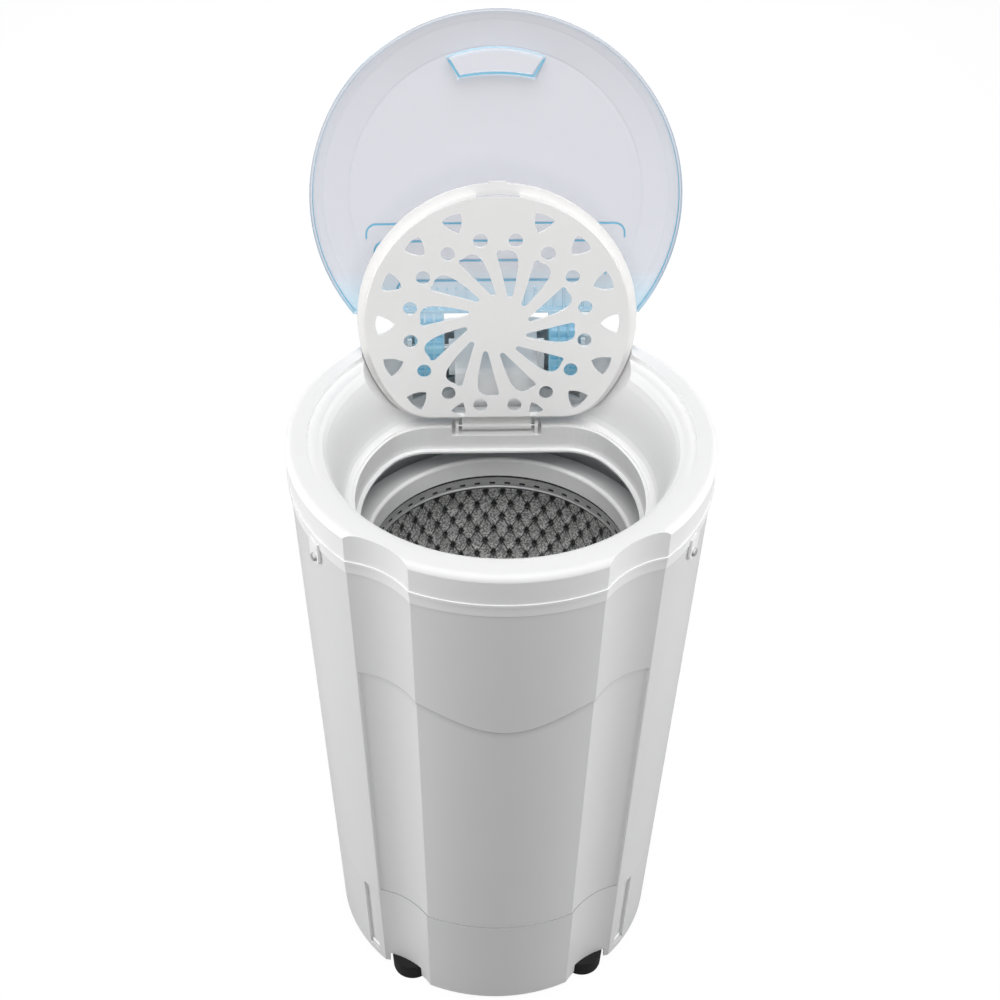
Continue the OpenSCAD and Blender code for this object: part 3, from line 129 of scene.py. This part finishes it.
def spread_from(nodes, wire, mask, low, high):
    """A value that goes from low to high with the mask."""
    spread = nodes.new("ShaderNodeMapRange")
    spread.inputs["To Min"].default_value = low
    spread.inputs["To Max"].default_value = high
    wire(mask, spread.inputs["Value"])
    return spread.outputs[0]


def plastic(name, colour, shade, rough, wave=18.0, grain=900.0, depth=0.05, coat=0.0):
    """Moulded plastic: two near shades mixed by the surface's own waviness."""
    material, nodes, wire = new_material(name)
    shader = nodes["Principled BSDF"]
    surface = nodes.new("ShaderNodeGroup")
    surface.node_tree = moulded_surface
    surface.inputs["Wave scale"].default_value = wave
    surface.inputs["Grain scale"].default_value = grain
    surface.inputs["Depth"].default_value = depth
    mask = surface.outputs["Mask"]
    wire(blend_colours(nodes, wire, mask, shade, colour), shader.inputs["Base Color"])
    wire(spread_from(nodes, wire, mask, rough - 0.04, rough + 0.06), shader.inputs["Roughness"])
    wire(surface.outputs["Normal"], shader.inputs["Normal"])
    shader.inputs["Coat Weight"].default_value = coat
    shader.inputs["Coat Roughness"].default_value = 0.12
    return material


def finish_node(name, material):
    piece = cad[name]
    piece.data.materials.clear()
    piece.data.materials.append(material)


def maths(nodes, wire, kind, *given):
    """One Math node; what is given is a plain number or another node's output."""
    node = nodes.new("ShaderNodeMath")
    node.operation = kind
    for socket, value in zip(node.inputs, given):
        if isinstance(value, (int, float)):
            socket.default_value = value
        else:
            wire(value, socket)
    return node.outputs[0]


def ramp(nodes, wire, value, start, end, most):
    """Rises from 0 at start to most at end, and stays there."""
    curve = nodes.new("ShaderNodeMapRange")
    for socket, number in (("From Min", start), ("From Max", end), ("To Max", most)):
        curve.inputs[socket].default_value = number
    wire(value, curve.inputs["Value"])
    return curve.outputs[0]


def darken(material, mask, kept):
    """Lays a darker painted shade over a material's colour where the mask says, such as in a seam."""
    nodes, wire = material.node_tree.nodes, material.node_tree.links.new
    shader = nodes["Principled BSDF"]
    under = shader.inputs["Base Color"].links[0].from_socket
    wire(blend_colours(nodes, wire, mask, under, kept), shader.inputs["Base Color"])


# the seam's painted shade lies on faces that turn up: none on a steep side, all of it on a flat face
steep_side, flat_face, seam_painted_shade = 0.2, 0.5, (0.36, 0.36, 0.36)
# where the step's painted dark line, the painted shade below it and its two ends fade out and are full, and
# how deep they go
line_fades, line_depth = (0.0010, 0.0004), 0.55
under_fades, under_depth = (0.009, 0.0005), 0.16
end_fades, step_painted_shade = (0.122, 0.085), (0.30, 0.30, 0.30)


def seam_shade(material, low, high):
    """Painted shade on the upward faces of the joint between base and body, which lies between two heights.
    """
    nodes, wire = material.node_tree.nodes, material.node_tree.links.new
    work = partial(maths, nodes, wire)
    faces, normal = nodes.new("ShaderNodeNewGeometry"), nodes.new("ShaderNodeSeparateXYZ")
    wire(faces.outputs["Normal"], normal.inputs[0])
    upward = ramp(nodes, wire, work("ABSOLUTE", normal.outputs["Z"]), steep_side, flat_face, 1.0)
    height = object_place(nodes, wire)["Z"]
    inside = work("MULTIPLY", work("GREATER_THAN", height, low), work("LESS_THAN", height, high))
    darken(material, work("MULTIPLY", upward, inside), seam_painted_shade)


def step_shade(material, middle, rise, half_width):
    """Painted shade under the curved step across the front, with a fine painted dark line along the step
    itself.
    """
    nodes, wire = material.node_tree.nodes, material.node_tree.links.new
    work = partial(maths, nodes, wire)
    at = object_place(nodes, wire)
    sideways = work("ABSOLUTE", at["X"])
    turn = work("MULTIPLY", work("MINIMUM", sideways, half_width), math.pi / half_width)
    lift = work("MULTIPLY", work("COSINE", turn), -rise / 2)
    below = work("SUBTRACT", work("ADD", lift, middle + rise / 2), at["Z"])
    line = ramp(nodes, wire, work("ABSOLUTE", below), *line_fades, line_depth)
    soft = ramp(nodes, wire, below, *under_fades, under_depth)
    under = work("MULTIPLY", soft, work("GREATER_THAN", below, 0.0))
    ends = ramp(nodes, wire, sideways, *end_fades, 1.0)
    front = work("LESS_THAN", at["Y"], 0.0)
    shown = work("MULTIPLY", work("MAXIMUM", line, under), work("MULTIPLY", ends, front))
    darken(material, shown, step_painted_shade)


seam_low, seam_high = 0.100, 0.150
step_middle, step_rise, step_half_width = 0.404, 0.024, 0.095
body_white = plastic("body white", (0.77, 0.77, 0.772), (0.745, 0.745, 0.75), 0.34, coat=0.2)
# painted shade under and along the curved step across the front
step_shade(body_white, step_middle, step_rise, step_half_width)
# painted shade on the upward faces where the body meets the base
seam_shade(body_white, seam_low, seam_high)
finish_node("body_shell", body_white)
base_white = plastic("base white", (0.75, 0.75, 0.752), (0.725, 0.725, 0.73), 0.36, wave=14.0, coat=0.2)
# the same painted shade on the base's side of the seam
seam_shade(base_white, seam_low, seam_high)
finish_node("base_housing", base_white)
deck_white = plastic("deck white", (0.88, 0.88, 0.88), (0.865, 0.865, 0.867), 0.44, wave=22.0, coat=0.05)
finish_node("top_deck", deck_white)

# --- Feet and their screws ----------------------------------------------------------------------
# Moulded black rubber discs, each held up into the base by one zinc-plated screw.
foot_black = plastic(
    "foot rubber", (0.008, 0.008, 0.009), (0.014, 0.014, 0.015), 0.62, wave=60.0, grain=1500.0, depth=0.25,
)
foot_black.node_tree.nodes["Principled BSDF"].inputs["Specular IOR Level"].default_value = 0.2
finish_node("rubber_feet", foot_black)


def metal(name, colour, shade, rough, scale=(60.0, 60.0, 60.0), depth=0.04):
    """Metal with a fine uneven finish, drawn out along an axis where the scale is small."""
    material, nodes, wire = new_material(name)
    shader = nodes["Principled BSDF"]
    shader.inputs["Metallic"].default_value = 1.0
    place, stretch = nodes.new("ShaderNodeTexCoord"), nodes.new("ShaderNodeMapping")
    stretch.inputs["Scale"].default_value = scale
    noise = nodes.new("ShaderNodeTexNoise")
    noise.inputs["Scale"].default_value = 10.0
    noise.inputs["Detail"].default_value = 5.0
    bump = nodes.new("ShaderNodeBump")
    bump.inputs["Strength"].default_value = depth
    bump.inputs["Distance"].default_value = 0.001
    wire(place.outputs["Object"], stretch.inputs["Vector"])
    wire(stretch.outputs[0], noise.inputs["Vector"])
    mask = noise.outputs[0]
    wire(mask, bump.inputs["Height"])
    wire(blend_colours(nodes, wire, mask, shade, colour), shader.inputs["Base Color"])
    wire(spread_from(nodes, wire, mask, rough - 0.08, rough + 0.12), shader.inputs["Roughness"])
    wire(bump.outputs[0], shader.inputs["Normal"])
    return material


zinc = metal("zinc plate", (0.62, 0.62, 0.62), (0.45, 0.45, 0.46), 0.32)
finish_node("foot_screws", zinc)
finish_node("deck_screws", zinc)

# --- Outer lid ----------------------------------------------------------------------------------
# One moulding in translucent pale blue plastic: a domed disc with a finger recess, low terraces and
# ribs near its straight edge, and two ribbed hinge legs. Light gathers in its edges, so they show cyan; that
# light is painted, as teal at the edges and a faint glow.
hinge_line, lid_opened = (0.0, 0.136, 0.585), math.radians(109.5)
# half width and front edge of each terrace, the rounding of its corners, the width and depth of a drawn
# edge, and how far behind the front edge's rounding the sides stop
terraces = [(0.117, 0.026), (0.110, 0.042), (0.100, 0.060), (0.090, 0.078)]
terrace_corner, edge_width, edge_depth = 0.009, 0.0010, 0.85
terrace_end = -0.004
# the finger recess: its edge on the hinge side bows by three times the square of the distance from the
# middle, and its sides slant outwards from the ends of that edge
recess_edge, recess_bow, recess_half_width = -0.110, 3.0, 0.0335
side_start, side_slope = (0.0325, -0.1068), (0.849, 0.527)
side_middle, side_half_length = -0.1140, 0.0076
recess_weight = 0.75  # below 1, so the recess's edges are drawn wider than the terraces'


def to_terrace(work, sideways, forward, half_width, front):
    """How far a point of the lying lid is from the edge of one terrace, which is open at the rear."""
    out = work("SUBTRACT", sideways, half_width - terrace_corner)
    ahead = work("SUBTRACT", front + terrace_corner - hinge_line[1], forward)
    squares = [work("POWER", work("MAXIMUM", way, 0.0), 2.0) for way in (out, ahead)]
    outside = work("SQRT", work("ADD", *squares))
    inside = work("MINIMUM", work("MAXIMUM", out, ahead), 0.0)
    away = work("ABSOLUTE", work("SUBTRACT", work("ADD", outside, inside), terrace_corner))
    return work("ADD", away, work("LESS_THAN", ahead, terrace_end))


def to_recess(work, sideways, forward):
    """How far a point of the lying lid is from the recess's inner edge, and from its slanted sides."""
    lengthwise = work("ADD", forward, hinge_line[1])
    bow = work("MULTIPLY", work("POWER", sideways, 2.0), recess_bow)
    inner_edge = work("ABSOLUTE", work("SUBTRACT", lengthwise, work("ADD", bow, recess_edge)))
    slant = work(
        "ADD",
        work("MULTIPLY", work("SUBTRACT", sideways, side_start[0]), side_slope[0]),
        work("MULTIPLY", work("SUBTRACT", lengthwise, side_start[1]), side_slope[1]),
    )
    past_end = work("GREATER_THAN", sideways, recess_half_width)
    from_middle = work("ABSOLUTE", work("SUBTRACT", lengthwise, side_middle))
    past_sides = work("GREATER_THAN", from_middle, side_half_length)
    pairs = ((inner_edge, past_end), (work("ABSOLUTE", slant), past_sides))
    return [work("ADD", work("MULTIPLY", distance, recess_weight), past) for distance, past in pairs]


def moulded_lines(nodes, wire):
    """The painted teal edges of terraces and recess, found in the lid's own lying position: 0 away from every
    line.
    """
    work = partial(maths, nodes, wire)
    place, lying = nodes.new("ShaderNodeTexCoord"), nodes.new("ShaderNodeMapping")
    lying.vector_type = "TEXTURE"
    lying.inputs["Location"].default_value = hinge_line
    lying.inputs["Rotation"].default_value = (-lid_opened, 0, 0)
    apart = nodes.new("ShaderNodeSeparateXYZ")
    wire(place.outputs["Object"], lying.inputs["Vector"])
    wire(lying.outputs[0], apart.inputs[0])
    sideways, forward = work("ABSOLUTE", apart.outputs["X"]), apart.outputs["Y"]
    distances = [to_terrace(work, sideways, forward, *terrace) for terrace in terraces]
    nearest = 1.0
    for distance in distances + to_recess(work, sideways, forward):
        nearest = work("MINIMUM", nearest, distance)
    return ramp(nodes, wire, nearest, edge_width, 0.6 * edge_width, edge_depth)


# how far a wall turns from the eye before it goes teal, and the heights between which legs begin
facing_span, leg_span = (0.36, 0.62), (0.645, 0.600)


def tinted_plastic(name, face, legs, edge, solid_face, solid_legs, solid_edge):
    """Pale across the disc, cyan in the legs, and deep teal along a wall or a rib, also given out as a
    painted glow.
    """
    material, nodes, wire = new_material(name)
    shader = nodes["Principled BSDF"]
    shader.inputs["Roughness"].default_value = 0.2
    # painted glow: the lid gives out its own tint faintly, though it is no lamp
    shader.inputs["Emission Strength"].default_value = 0.12
    surface = nodes.new("ShaderNodeGroup")
    surface.node_tree = moulded_surface
    surface.inputs["Depth"].default_value = 0.04
    grazing = nodes.new("ShaderNodeLayerWeight")
    grazing.inputs["Blend"].default_value = 0.3
    along = ramp(nodes, wire, grazing.outputs["Facing"], *facing_span, 1.0)
    deep = maths(nodes, wire, "MAXIMUM", along, moulded_lines(nodes, wire))
    low = ramp(nodes, wire, object_place(nodes, wire)["Z"], *leg_span, 1.0)

    def three(on_face, on_legs, on_edge):
        return blend_colours(nodes, wire, deep, blend_colours(nodes, wire, low, on_face, on_legs), on_edge)

    tint = three(face, legs, edge)
    cover = three((solid_face,) * 3, (solid_legs,) * 3, (solid_edge,) * 3)
    wire(tint, shader.inputs["Base Color"])
    wire(tint, shader.inputs["Emission Color"])
    wire(cover, shader.inputs["Alpha"])
    wire(surface.outputs["Normal"], shader.inputs["Normal"])
    return material


lid_blue = tinted_plastic(
    "lid blue", (0.57, 0.575, 0.64), (0.52, 0.86, 1.0), (0.03, 0.38, 0.58), 0.44, 0.50, 0.88,
)
finish_node("outer_lid", lid_blue)
finish_node("outer_lid_hinge_pins", zinc)

# --- Inner lid ----------------------------------------------------------------------------------
# A thin off-white moulding: a flanged D with pierced leaves, discs and triangles in its plate.
inner_white = plastic("inner lid white", (0.88, 0.875, 0.87), (0.85, 0.845, 0.84), 0.34, wave=30.0, coat=0.15)
finish_node("inner_lid", inner_white)
finish_node("inner_lid_hinge_rod", zinc)

# --- Lid switch ---------------------------------------------------------------------------------
# A black snap switch under the console, worked by a white plunger when the outer lid comes down.
switch_black = plastic("switch black", (0.03, 0.03, 0.033), (0.045, 0.045, 0.05), 0.5, wave=80.0, depth=0.15)
finish_node("lid_switch", switch_black)
finish_node("switch_plunger", deck_white)

# --- Balance ring -------------------------------------------------------------------------------
# A hollow white plastic ring on the drum's neck, smooth on its bore and lip.
ring_white = plastic("ring white", (0.94, 0.94, 0.94), (0.925, 0.925, 0.925), 0.33, wave=26.0, coat=0.15)
finish_node("balance_ring", ring_white)

# --- Drum ---------------------------------------------------------------------------------------
# Pressed stainless sheet: raised diamond pads all round the wall, with a drain hole in each dimple where
# the grooves between them cross, one welded seam, a plain shoulder and a polished neck with black painted
# slots.
drum_radius = 0.138
columns, rows = 104, 11
wall_low, row_high = 0.2430, 0.0157
wall_high = wall_low + rows * row_high
pad_rise, groove_rise, hole_reach = 0.0034, 0.0016, 0.0019
seam_turn = math.radians(47)
bpy.ops.object.select_all(action="DESELECT")
bpy.ops.mesh.primitive_cylinder_add(
    vertices=2 * columns, radius=drum_radius, depth=wall_high - wall_low, end_fill_type="NOTHING",
    location=(0, 0, (wall_low + wall_high) / 2),
)
drum = bpy.context.object
drum.name = "drum_sheet"
bpy.ops.object.transform_apply(location=True, rotation=True, scale=True)


def choose(piece, kind, wanted):
    """Selects only the vertices, edges or faces that a test on their place accepts."""
    bpy.ops.object.mode_set(mode="OBJECT")
    bpy.context.tool_settings.mesh_select_mode = [kind == "VERT", kind == "EDGE", kind == "FACE"]
    mesh = piece.data
    for group in (mesh.vertices, mesh.edges, mesh.polygons):
        group.foreach_set("select", [False] * len(group))
    if kind == "VERT":
        mesh.vertices.foreach_set("select", [wanted(vertex.co) for vertex in mesh.vertices])
    elif kind == "EDGE":
        ends = [[mesh.vertices[i].co for i in edge.vertices] for edge in mesh.edges]
        mesh.edges.foreach_set("select", [wanted(one, other) for one, other in ends])
    else:
        mesh.polygons.foreach_set("select", [wanted(face) for face in mesh.polygons])
    bpy.ops.object.mode_set(mode="EDIT")


choose(drum, "EDGE", lambda one, other: abs(one.z - other.z) > 0.01)
bpy.ops.mesh.subdivide(number_cuts=2 * rows - 1)


def from_grooves(point):
    """How far a point lies from the two groove lines beside it: 0 on a groove, 1 at a pad's middle."""
    column = math.atan2(point.y, point.x) / (2 * math.pi) * columns
    row = (point.z - wall_low) / row_high
    seam_away = abs(column - (0.25 - seam_turn / (2 * math.pi)) * columns)
    if seam_away < 0.8 or not 0.2 < row < rows - 0.2:
        return None
    return [abs(way - 2 * round(way / 2)) for way in (column + row, column - row)]


def on_pad(point):
    away = from_grooves(point)
    return away is not None and min(away) > 0.3


def on_groove(point):
    away = from_grooves(point)
    return away is None or (min(away) < 0.2 and max(away) > 0.3)


def at_hole(point):
    away = from_grooves(point)
    return away is not None and max(away) < 0.2


for place, rise in ((on_pad, pad_rise), (on_groove, groove_rise)):
    choose(drum, "VERT", place)
    inward = 1 - rise / drum_radius
    bpy.ops.transform.resize(value=(inward, inward, 1), center_override=(0, 0, 0))
choose(drum, "VERT", at_hole)
bpy.ops.mesh.bevel(offset=hole_reach, affect="VERTICES", segments=1)
choose(drum, "FACE", lambda face: face.area < 3 * hole_reach**2 and len(face.vertices) == 4)
bpy.ops.mesh.delete(type="FACE")


def pull_rings(piece, radius, height, steps):
    """Draws an open ring of edges on, through radii and heights given one after the other."""
    for next_radius, next_height in steps:
        choose(piece, "EDGE", lambda *ends: all(
            abs(end.z - height) < 1e-5 and abs(math.hypot(end.x, end.y) - radius) < 1e-4 for end in ends
        ))
        bpy.ops.mesh.extrude_edges_move(TRANSFORM_OT_translate={"value": (0, 0, next_height - height)})
        growth = next_radius / radius
        bpy.ops.transform.resize(value=(growth, growth, 1), center_override=(0, 0, 0))
        radius, height = next_radius, next_height


edge_radius = drum_radius - groove_rise
pull_rings(drum, edge_radius, wall_high, [
    (0.1376, 0.4174), (0.1378, 0.4192), (0.1366, 0.4214), (0.1300, 0.4258), (0.1218, 0.4309),
    (0.1197, 0.4324), (0.1187, 0.4333), (0.1184, 0.4342), (0.1188, 0.4351), (0.1194, 0.4358),
    (0.1195, 0.4380), (0.1195, 0.4404), (0.1195, 0.4426), (0.1195, 0.4490),
])
pull_rings(drum, edge_radius, wall_low, [
    (0.1377, 0.2415), (0.1352, 0.2392), (0.1300, 0.2383), (0.1180, 0.2381), (0.1120, 0.2412),
    (0.0900, 0.2412), (0.0840, 0.2381), (0.0500, 0.2381), (0.0300, 0.2381), (0.0085, 0.2382),
])
bpy.ops.mesh.select_all(action="SELECT")
bpy.ops.mesh.normals_make_consistent(inside=False)
bpy.ops.object.mode_set(mode="OBJECT")
for kind, settings in (
    ("SUBSURF", {"levels": 1, "render_levels": 1}),
    ("SOLIDIFY", {"thickness": 0.0008, "offset": -1.0}),
):
    modifier = drum.modifiers.new(kind.title(), kind)
    for key, value in settings.items():
        setattr(modifier, key, value)
    bpy.ops.object.modifier_apply(modifier=modifier.name)
bpy.ops.object.shade_smooth()


def sheet_steel(name, dark, light, rough, grain, streak, depth):
    """Sheet steel whose fine finish breaks its reflection up, or draws it out where streak is large."""
    material, nodes, wire = new_material(name)
    shader = nodes["Principled BSDF"]
    shader.inputs["Metallic"].default_value = 1.0
    place, stretch = nodes.new("ShaderNodeTexCoord"), nodes.new("ShaderNodeMapping")
    stretch.inputs["Scale"].default_value = (1, 1, streak)
    speckle, cloud = nodes.new("ShaderNodeTexNoise"), nodes.new("ShaderNodeTexNoise")
    speckle.inputs["Scale"].default_value = grain
    speckle.inputs["Detail"].default_value = 1.5
    cloud.inputs["Scale"].default_value = 45.0
    wire(place.outputs["Object"], stretch.inputs["Vector"])
    for noise in (speckle, cloud):
        wire(stretch.outputs[0], noise.inputs["Vector"])
    both = nodes.new("ShaderNodeMix")
    both.inputs[0].default_value = 0.15
    wire(speckle.outputs[0], both.inputs[2])
    wire(cloud.outputs[0], both.inputs[3])
    sharp = ramp(nodes, wire, both.outputs[0], 0.43, 0.57, 1.0)
    bump = nodes.new("ShaderNodeBump")
    bump.inputs["Strength"].default_value = depth
    bump.inputs["Distance"].default_value = 0.0008
    wire(both.outputs[0], bump.inputs["Height"])
    wire(blend_colours(nodes, wire, sharp, dark, light), shader.inputs["Base Color"])
    wire(spread_from(nodes, wire, sharp, rough + 0.12, rough), shader.inputs["Roughness"])
    wire(bump.outputs[0], shader.inputs["Normal"])
    return material


def darken_dimples(material):
    """Painted shade and painted dark reflection in the dimples and in the fine grooves between the pads."""
    nodes, wire = material.node_tree.nodes, material.node_tree.links.new
    work = partial(maths, nodes, wire)
    at = object_place(nodes, wire)
    column = work("MULTIPLY", work("ARCTAN2", at["Y"], at["X"]), columns / (2 * math.pi))
    row = work("DIVIDE", work("SUBTRACT", at["Z"], wall_low), row_high)
    rising = work("PINGPONG", work("ADD", column, row), 1.0)
    falling = work("PINGPONG", work("SUBTRACT", column, row), 1.0)
    dimples = ramp(nodes, wire, work("MAXIMUM", rising, falling), 0.54, 0.30, 0.90)
    grooves = ramp(nodes, wire, work("MINIMUM", rising, falling), 0.13, 0.03, 0.80)
    darken(material, work("MAXIMUM", dimples, grooves), (0.015, 0.015, 0.017))


drum_steel = sheet_steel("drum steel", (0.44, 0.44, 0.44), (1.0, 1.0, 0.99), 0.46, 520.0, 1.0, 0.5)
# painted shade and dark reflection in the pressed wall's dimples and grooves
darken_dimples(drum_steel)
neck_steel = sheet_steel("neck steel", (0.85, 0.85, 0.85), (0.98, 0.98, 0.98), 0.36, 30.0, 30.0, 0.03)
# black painted shadow: the neck's slots, the gap under the ring and the crease below the neck, none of them
# cut
neck_painted_shadow = plastic("neck painted shadow", (0.02, 0.02, 0.02), (0.03, 0.03, 0.03), 0.6)
for material in (drum_steel, neck_steel, neck_painted_shadow):
    drum.data.materials.append(material)


neck_low, neck_high = 0.4340, 0.4450
# the band of slots, painted black as shadow and not cut
slots_low, slots_high, slot_share = 0.4382, 0.4402, 0.75


def neck_finish(face):
    """Which of the drum's finishes a face has: 0 the pressed wall, 1 the neck, 2 black painted shadow."""
    middle = face.center
    if middle.z < neck_low - 0.0012:
        return 0
    turn = math.atan2(middle.y, middle.x) / (2 * math.pi) * columns
    if not neck_low <= middle.z <= neck_high:
        return 2
    return 2 if slots_low < middle.z < slots_high and turn % 2 < slot_share else 1


drum.data.polygons.foreach_set("material_index", [neck_finish(face) for face in drum.data.polygons])
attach(drum, "drum")
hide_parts("spin_basket")

# --- Hub, shaft and hub cap ---------------------------------------------------------------------
# A die-cast spider under the drum, a ground steel shaft pressed into it, and a spun cap over its nut.
finish_node("basket_hub", metal("cast aluminium", (0.66, 0.66, 0.67), (0.52, 0.52, 0.53), 0.45, depth=0.2))
finish_node("hub_cap", metal("spun cap", (0.72, 0.72, 0.73), (0.6, 0.6, 0.61), 0.25))
shaft_steel = metal("ground shaft", (0.58, 0.58, 0.59), (0.45, 0.45, 0.46), 0.28, scale=(60, 60, 8))
finish_node("drive_shaft", shaft_steel)

# --- Water tub, seal and drain ------------------------------------------------------------------
# A natural-coloured plastic tub with a sloped floor, a rubber bellows round the shaft, a bronze bush,
# and a black hose that leads from the tub's outlet to the white spigot in the rear wall.
finish_node("outer_tub", plastic("tub plastic", (0.62, 0.64, 0.66), (0.57, 0.59, 0.61), 0.42, depth=0.08))
rubber_black = plastic(
    "hose rubber", (0.03, 0.03, 0.032), (0.05, 0.05, 0.052), 0.55, wave=40.0, grain=1200.0, depth=0.2,
)
for name in ("shaft_seal", "drain_hose", "spring_cups", "power_gland", "brake_cable"):
    finish_node(name, rubber_black)
finish_node("seal_bush", metal("sintered bronze", (0.62, 0.42, 0.2), (0.5, 0.34, 0.17), 0.4, depth=0.15))
finish_node("drain_spigot", plastic("spigot white", (0.80, 0.80, 0.81), (0.77, 0.77, 0.785), 0.36, wave=30.0))

# --- Motor on its springs -----------------------------------------------------------------------
# A painted steel can bolted to a pressed plate, which stands on three coil springs in rubber cups.
motor_grey = plastic(
    "motor paint", (0.16, 0.17, 0.18), (0.2, 0.21, 0.22), 0.45, wave=30.0, grain=500.0, depth=0.2,
)
for name in ("motor_housing", "motor_mount_plate"):
    finish_node(name, motor_grey)
windings = metal(
    "varnished windings", (0.42, 0.2, 0.09), (0.25, 0.13, 0.07), 0.45, scale=(30, 30, 200), depth=0.3,
)
finish_node("motor_stator", windings)
for name in ("motor_rotor", "motor_bearings"):
    finish_node(name, shaft_steel)
finish_node("mount_bolts", zinc)
finish_node("suspension_springs", metal("spring wire", (0.4, 0.4, 0.41), (0.28, 0.28, 0.29), 0.38))

# --- Brake --------------------------------------------------------------------------------------
# A machined iron drum on the shaft and a lined lever that a cable pulls clear when the lid is shut.
finish_node("brake_drum", metal("machined iron", (0.36, 0.36, 0.37), (0.26, 0.26, 0.27), 0.42, depth=0.15))
finish_node("brake_lever", zinc)
lining = plastic(
    "brake lining", (0.10, 0.07, 0.05), (0.15, 0.11, 0.08), 0.8, wave=120.0, grain=700.0, depth=0.5,
)
finish_node("brake_pad", lining)

# --- Start capacitor ----------------------------------------------------------------------------
# A drawn aluminium can with two tabs, clipped upright to the base floor.
finish_node("capacitor", metal("drawn can", (0.6, 0.61, 0.62), (0.5, 0.51, 0.52), 0.35, scale=(60, 60, 6)))

# --- Floor, backdrop and light ------------------------------------------------------------------
# A plain white floor that keeps the object's shadow, and soft boxes at both sides, above, in front and
# behind. The room is bright where it is seen or mirrored, and lights the object only faintly.
def bright_where_seen(name, grey, shade_kept, glow_level):
    """White to the eye and through the lid, but a plain grey floor to the light that falls on it."""
    material, nodes, wire = new_material(name)
    shader, out = nodes["Principled BSDF"], nodes["Material Output"]
    shader.inputs["Base Color"].default_value = (grey, grey, grey, 1)
    shader.inputs["Roughness"].default_value = 0.9
    glow = nodes.new("ShaderNodeEmission")
    glow.inputs["Strength"].default_value = glow_level
    path = nodes.new("ShaderNodeLightPath")
    seen = maths(nodes, wire, "MAXIMUM", path.outputs["Is Camera Ray"], path.outputs["Is Transmission Ray"])
    mix = nodes.new("ShaderNodeMixShader")
    wire(maths(nodes, wire, "MULTIPLY", seen, 1.0 - shade_kept), mix.inputs[0])
    wire(shader.outputs[0], mix.inputs[1])
    wire(glow.outputs[0], mix.inputs[2])
    wire(mix.outputs[0], out.inputs["Surface"])
    return material


bpy.ops.object.select_all(action="DESELECT")
bpy.ops.mesh.primitive_plane_add(size=12, location=(0, 0, -0.0005))
floor = bpy.context.object
floor.name = "floor"
floor.data.materials.append(bright_where_seen("floor white", grey=0.36, shade_kept=0.12, glow_level=1.09))

world = bpy.data.worlds.new("studio")
bpy.context.scene.world = world
world.use_nodes = True
sky = world.node_tree.nodes
wire = world.node_tree.links.new
path = sky.new("ShaderNodeLightPath")
seen = maths(sky, wire, "MAXIMUM", path.outputs["Is Camera Ray"], path.outputs["Is Glossy Ray"])
wire(spread_from(sky, wire, seen, 0.12, 1.0), sky["Background"].inputs["Strength"])
sky["Background"].inputs["Color"].default_value = (1, 1, 1, 1)


def soft_box(name, place, aim, size, power):
    light = bpy.data.lights.new(name, "AREA")
    light.shape = "RECTANGLE"
    light.size, light.size_y = size
    light.energy = power
    lamp = bpy.data.objects.new(name, light)
    bpy.context.scene.collection.objects.link(lamp)
    lamp.location = place
    lamp.rotation_euler = (Vector(aim) - Vector(place)).to_track_quat("-Z", "Y").to_euler()


soft_box("left box", (-1.8, 0.10, 0.60), (0, 0, 0.35), (0.9, 1.2), 23)
soft_box("right box", (1.8, 0.10, 0.60), (0, 0, 0.35), (0.9, 1.2), 22)
soft_box("top box", (0.0, -0.80, 2.60), (0, 0, 0.5), (2.4, 2.0), 45)
soft_box("front box", (0.0, -2.1, 1.5), (0, 0, 0.5), (1.6, 1.4), 7.5)
soft_box("rear box", (0.0, 2.1, 0.62), (0, 0, 0.35), (1.5, 0.9), 13)
